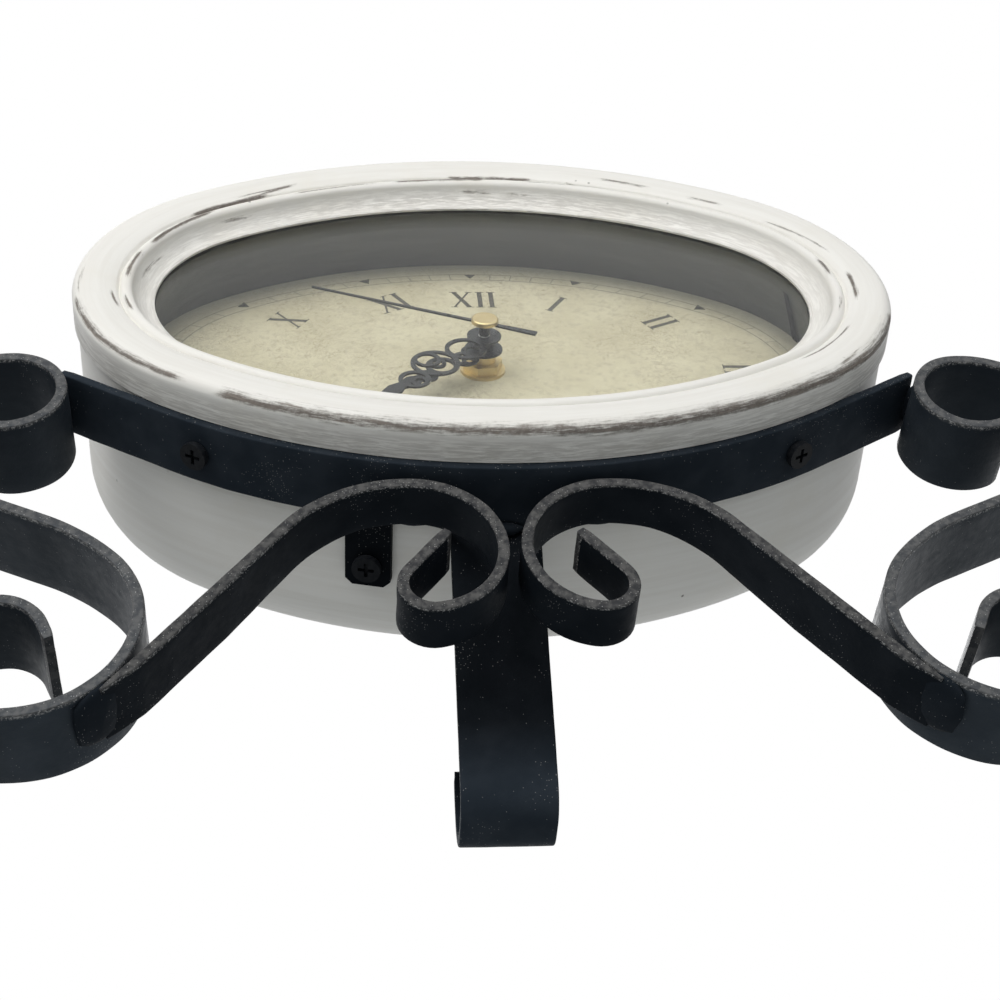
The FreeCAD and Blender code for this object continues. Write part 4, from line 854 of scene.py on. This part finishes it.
# Hammering, scarf and rubbed edges of a strap, and the height below which its feet are painted lighter
WAVE = 0.16
RIPPLE = 0.13
SWAY = 0.12
HAMMER_INSET = 0.10
EDGE_MARGIN = 1.5
EDGE_KEEP = 0.02
SCARF_TIP = 0.31
RUB_FULL = 0.3
RUB_FADE = 0.7
BACK_RUB = 0.4
FOOT_LIGHT_HEIGHT = 24.0


def edge_rub(distance):
    return max(0.0, 1.0 - max(0.0, distance - RUB_FULL) / RUB_FADE)


# Hammered strap along a trail. It may narrow, end in a scarf, and be rubbed in places. Its base tone is paler
# per part, and lighter towards the feet as painted light
def strap(name, node, trail, thickness, width, place, seed, matrix=None, dust=0.0, narrow=None, scarf=0.0,
          rub=1.0, lift=0.45, foot=0.0, iron=IRON):
    shape = section(thickness, width)
    length = sum(math.dist(trail[n][:2], trail[n - 1][:2]) for n in range(1, len(trail)))
    wide = len(shape)
    points = []
    rim = []
    dusty = []
    paler = []
    last = len(trail) - 1
    run = 0.0
    for number, (x, z, turn) in enumerate(trail):
        if number:
            run += math.dist(trail[number][:2], trail[number - 1][:2])
        end = min(number, last - number)
        shrink = 0.80 if end == 0 else (0.95 if end == 1 else 1.0)
        taper = 1.0 if end > 1 else 0.985
        wave = WAVE * noise.noise(Vector((run * 0.045, seed, 0.0)))
        for n, w in shape:
            outward = 1.0 if n > 0 else -1.0
            at_edge = 0.0 if EDGE_MARGIN < w < width - EDGE_MARGIN else 1.0
            face_seed = seed + 5.0 + (3.0 if n > 0 else 0.0)
            ripple = RIPPLE * noise.noise(Vector((run * 0.13, w * 0.16, face_seed)))
            sway = SWAY * noise.noise(Vector((run * 0.10, seed + 9.0, 0.3 if w > width / 2 else 0.8)))
            off = n * shrink + wave + ripple * outward - HAMMER_INSET * outward
            over = width / 2 + (w - width / 2) * taper + sway * at_edge
            over = min(max(over, EDGE_KEEP), width - EDGE_KEEP)
            if narrow:
                over *= narrow(x)
            if scarf and length - run < scarf:
                thin = SCARF_TIP + (1.0 - SCARF_TIP) * (length - run) / scarf
                off = thickness / 2.0 - (thickness / 2.0 - off) * thin
            points.append(place(x - off * math.sin(turn), z + off * math.cos(turn), over))
            cut = 0.0 if end > 1 or (scarf and number > 2) else 1.0
            rim.append(rub * max(edge_rub(w), BACK_RUB * edge_rub(width - w), cut))
            dusty.append(dust)
            # Painted light: the base tone grows paler towards the feet
            paler.append(min(1.0, lift + foot * max(0.0, 1.0 - z / FOOT_LIGHT_HEIGHT)))
    faces = []
    for i in range(last):
        for k in range(wide):
            m = (k + 1) % wide
            faces.append((i * wide + k, i * wide + m, (i + 1) * wide + m, (i + 1) * wide + k))
    faces.append(tuple(range(wide)))
    faces.append(tuple(reversed(range(last * wide, last * wide + wide))))
    made = mesh_object(name, points, faces, iron, matrix=matrix, angle=50.0,
                       fields={"rim": rim, "dust": dusty, "lift": paler})
    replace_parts(made, node)


# Weld lump: a dented ball, stretched to its size and turned about the depth axis
def weld(name, centre, size, seed, tilt_up=0.0, square=1.0):
    points = []
    faces = []
    rows = 9
    around = 14
    for i in range(rows + 1):
        tilt = math.pi * i / rows
        for k in range(around):
            turn = 2.0 * math.pi * k / around
            ray = Vector((math.sin(tilt) * math.cos(turn), math.sin(tilt) * math.sin(turn), math.cos(tilt)))
            swell = 1.0 + 0.25 * noise.noise(ray * 1.7 + Vector((seed, 0, 0)))
            across = ray.x * size[0] * swell
            along = math.copysign(abs(ray.y) ** square, ray.y) * size[1]
            above = ray.z * size[2] * swell
            points.append((
                centre[0] + across * math.cos(tilt_up) - above * math.sin(tilt_up),
                centre[1] + along,
                centre[2] + across * math.sin(tilt_up) + above * math.cos(tilt_up),
            ))
    for i in range(rows):
        for k in range(around):
            m = (k + 1) % around
            faces.append((i * around + k, (i + 1) * around + k, (i + 1) * around + m, i * around + m))
    mesh_object(name, points, faces, IRON, angle=80.0,
                fields={"rim": [0.3] * len(points), "lift": [0.45] * len(points)})


def front_place(side):
    def place(u, w, over):
        return (side * u, STAND_FRONT + over + SHIFT_Y, w)
    return place


def leg_place(u, w, over):
    return (over + LEG_LEFT, u + SHIFT_Y, w)


def band_place(u, w, over):
    return (u, BAND_FRONT + over, w)


# Trails of a side scroll, both ways from its foot, and of a brace, both ways from the top of its arch
# A line has a length, an arc a radius and a sweep
FOOT_POINT = (124.3, STRAP / 2.0)
ARCH_POINT = (27.0, 78.938)
side_out = walk(FOOT_POINT, 180.0, [
    ("arc", 30.0, -132.2), ("arc", 61.2, -22.3), ("line", 30.4419), ("arc", 27.6656, 154.5),
    ("arc", 14.6, 222.0),
])
side_foot = walk(FOOT_POINT, 0.0, [("line", 4.6), ("arc", 18.1, 180.0), ("arc", 12.4, 66.0), ("line", 6.0)])
side_trail = joined(side_foot, side_out)
brace_out = walk(ARCH_POINT, 0.0, [("arc", 40.1633, -53.2), ("line", 69.03)])
brace_in = walk(ARCH_POINT, 180.0, [
    ("arc", 23.9, 105.7), ("arc", 20.3, 64.2), ("arc", 8.1, 137.2), ("line", 17.4),
])
brace_trail = joined(brace_in, brace_out)

NARROW_END = 40.0
NARROW_FADE = 35.0


# Share of the full width that a brace has at a distance from the middle
def brace_share(x):
    grown = min(1.0, max(0.0, (x - NARROW_END) / NARROW_FADE))
    return (BRACE_NARROW + (BRACE_WIDTH - BRACE_NARROW) * grown) / BRACE_WIDTH


for side, word in ((1.0, "right"), (-1.0, "left")):
    strap(word + "_scroll_strap", word + "_side_scroll", side_trail, STRAP, SIDE_WIDTH, front_place(side),
          3.0 + side, dust=0.3, lift=0.6, foot=1.2, iron=IRON_SIDE)
    strap(word + "_brace_strap", word + "_brace_scroll", brace_trail, STRAP, BRACE_WIDTH, front_place(side),
          13.0 + side, dust=0.4, narrow=brace_share, scarf=11.0, lift=0.25)

leg_trail = walk((13.7365, 80.2907), -74.5761, [
    ("line", 74.7774), ("arc", 9.0, 74.5761), ("line", 4.0), ("arc", 9.0, 80.0), ("arc", 20.0, 50.0),
])
strap("leg_strap", "rear_leg", leg_trail, STRAP, LEG_WIDTH, leg_place, 23.0,
      dust=1.0, rub=0.35, lift=0.05, foot=1.2)

BAND_TAIL = 36.986
band_radius = FLAT_RADIUS - DRUM_INSET + SEAT_GAP + STRAP / 2.0
band_trail = walk(
    (-band_radius * math.sin(JOIN) - BAND_TAIL * math.cos(JOIN),
     FLAT_Z - band_radius * math.cos(JOIN) + BAND_TAIL * math.sin(JOIN)),
    -math.degrees(JOIN),
    [("line", BAND_TAIL), ("arc", band_radius, 2.0 * math.degrees(JOIN)), ("line", BAND_TAIL)],
    pace=1.6,
)
strap("band_strap", "cradle_band", band_trail, STRAP, BAND_WIDTH, band_place, 33.0, matrix=CLOCK,
      dust=0.5, rub=0.45, lift=0.9)

# Weld lumps where the straps meet
for side in (1.0, -1.0):
    weld("eye_weld", (side * 125.3, SHIFT_Y + 11.0, 129.6), (2.6, 7.0, 2.6), 1.0 + side)
    weld("foot_weld", (side * 102.4, SHIFT_Y + 4.3, 8.6), (7.0, 9.1, 1.9), 5.0 + side,
         math.radians(-45.0 * side), 0.4)
    weld("brace_weld", (side * 24.5, SHIFT_Y + 10.2, 79.9), (5.0, 1.6, 1.5), 9.0 + side)
weld("leg_weld", (-2.7, SHIFT_Y + 11.6, 77.6), (8.0, 1.8, 2.2), 14.0)

# Lap of the liner's card, a hair inside its wall: depth and offset at each end, degrees beside the seam
LAP_ENDS = ((13.2, -22.3), (32.1, -15.6))
LAP_SIDES = (-1.9, 1.3)
LAP_STANDOFF = 0.6
lap = []
for depth, offset in LAP_ENDS:
    for beside in LAP_SIDES:
        turn = math.radians(SEAM_TURN + beside)
        reach = END_RADIUS + offset - LAP_STANDOFF
        lap.append((END_X + reach * math.cos(turn), depth, reach * math.sin(turn)))
mesh_object("liner_lap", lap, [(0, 1, 3, 2)], LAP, matrix=CLOCK)

# Solids that keep their own shape: finish and bevel
FINISHES = {
    "glass_lens": (GLASS, 0.0),
    "dial_liner": (LINER, 0.0),
    "dial_board": (BOARD, 0.0),
    "dial_board_screws": (STEEL, 0.15),
    "back_panel": (BOARD, 0.3),
    "back_panel_screws": (STEEL, 0.15),
    "gasket": (RUBBER, 0.0),
    "movement_housing": (PLASTIC, 0.3),
    "movement_cover": (PLASTIC, 0.3),
    "threaded_bushing": (BRASS, 0.1),
    "mounting_washer": (BRASS, 0.15),
    "mounting_nut": (BRASS, 0.25),
    "hour_hand": (HAND, 0.12),
    "minute_hand": (HAND, 0.12),
    "second_hand": (HAND, 0.08),
    "second_hand_cap": (BRASS, 0.1),
    "hour_wheel": (NYLON, 0.0),
    "minute_wheel": (NYLON, 0.0),
    "second_wheel": (NYLON, 0.0),
    "motion_wheel": (NYLON, 0.0),
    "transfer_wheel": (NYLON, 0.0),
    "set_knob": (NYLON, 0.0),
    "rotor": (MAGNET, 0.0),
    "stator": (STEEL, 0.0),
    "coil": (COPPER, 0.0),
    "circuit_board": (MASK, 0.0),
    "battery": (CELL, 0.4),
    "contact_positive": (STEEL, 0.0),
    "contact_negative": (STEEL, 0.0),
    "cradle_screws": (SCREW, 0.15),
    "case_tab": (IRON, 0.35),
    "tab_screw": (SCREW, 0.15),
}
for node, (material, bevel) in FINISHES.items():
    dress(node, material, bevel)

# Floor: pale, keeps the shadow, gives even light from below, white far off, open to a camera below it
FLOOR_GLOW = 0.39
FLOOR_HALF = 3
WHITE_START = 0.18
WHITE_END = 1.0
floor_data = bpy.data.meshes.new("floor")
corners = [(x * FLOOR_HALF, y * FLOOR_HALF, 0) for x, y in ((-1, -1), (1, -1), (1, 1), (-1, 1))]
floor_data.from_pydata(corners, [], [(0, 1, 2, 3)])
floor_material, tree, shader = fresh("floor")
ray = put(tree, "ShaderNodeLightPath").outputs
direct = larger(tree, ray["Is Camera Ray"], ray["Is Transmission Ray"])
seen = larger(tree, direct, ray["Is Glossy Ray"])
setup(tree, shader, Base_Color=(0.86, 0.86, 0.855, 1), Roughness=0.9)
shader.inputs["Specular IOR Level"].default_value = 0.1
where = put(tree, "ShaderNodeNewGeometry").outputs
away = put(tree, "ShaderNodeVectorMath", {0: where["Position"]}, operation="LENGTH").outputs["Value"]
far_off = times(tree, step(tree, away, WHITE_START, WHITE_END), seen)
white = put(tree, "ShaderNodeEmission", {"Color": (1, 1, 1, 1), "Strength": 1.0})
glow = put(tree, "ShaderNodeEmission", {"Color": (0.97, 1.0, 1.0, 1), "Strength": FLOOR_GLOW})
clear = put(tree, "ShaderNodeBsdfTransparent")
lit = either(tree, direct, glow, shader)
faded = either(tree, far_off, lit, white)
chosen = either(tree, where["Backfacing"], faded, clear)
tree.links.new(chosen.outputs[0], tree.nodes["Material Output"].inputs["Surface"])
floor_data.materials.append(floor_material)
floor = bpy.data.objects.new("floor", floor_data)
bpy.context.scene.collection.objects.link(floor)

# World: soft studio grey for light, white where it is seen
world = bpy.data.worlds.new("studio")
bpy.context.scene.world = world
world.use_nodes = True
tree = world.node_tree
ground = tree.nodes["Background"]
ray = put(tree, "ShaderNodeLightPath").outputs
direct = larger(tree, ray["Is Camera Ray"], ray["Is Transmission Ray"])
seen = larger(tree, direct, ray["Is Glossy Ray"])
direction = put(tree, "ShaderNodeTexCoord").outputs["Generated"]
aside = put(tree, "ShaderNodeSeparateXYZ", {0: direction}).outputs[0]
rightward = spread(tree, aside, -1.0, 1.0, 0.0, 1.0)
soft = blend(tree, rightward, (0.18, 0.19, 0.20, 1), (0.055, 0.061, 0.069, 1))
feed(tree, ground.inputs["Color"], blend(tree, seen, soft, (1, 1, 1, 1)))
ground.inputs["Strength"].default_value = 1.0


# Area lamps: place, target and size in metres, power in watts
def lamp(name, place, target, size, power, colour):
    data = bpy.data.lights.new(name, "AREA")
    data.shape = "RECTANGLE"
    data.size, data.size_y = size
    data.energy = power
    data.color = colour
    made = bpy.data.objects.new(name, data)
    made.location = place
    made.rotation_euler = (Vector(target) - Vector(place)).to_track_quat("-Z", "Y").to_euler()
    bpy.context.scene.collection.objects.link(made)


lamp("key", (-0.35, -1.2, 0.45), (0, 0, 0.16), (1.7, 0.76), 15.2, (1.0, 0.985, 0.96))
lamp("fill", (0.9, -0.8, 0.30), (0, 0, 0.12), (0.5, 0.5), 0.5, (0.94, 0.97, 1.0))
lamp("top", (0.1, 0.75, 1.1), (0, 0, 0.15), (0.8, 0.5), 5.0, (1.0, 1.0, 1.0))

# Camera of the photograph, given in the clock's own frame
forward = Vector((0.0882, 0.5521, 0.8291))
right = Vector((0.9961, -0.0455, -0.0756))
up = Vector((0.0040, -0.8325, 0.5539))
centre = Vector((-45.0, -249.9, -496.7)) * MM
camera_data = bpy.data.cameras.new("camera")
camera_data.sensor_width = 36.0
camera_data.lens = 64.8
camera_data.clip_start = 0.01
camera = bpy.data.objects.new("camera", camera_data)
basis = Matrix((
    (right.x, up.x, -forward.x, centre.x),
    (right.y, up.y, -forward.y, centre.y),
    (right.z, up.z, -forward.z, centre.z),
    (0.0, 0.0, 0.0, 1.0),
))
place, turn, _ = (CLOCK @ basis).decompose()
camera.location = place
camera.rotation_euler = turn.to_euler()
bpy.context.scene.collection.objects.link(camera)
bpy.context.scene.camera = camera

bpy.context.scene.view_settings.view_transform = "Standard"
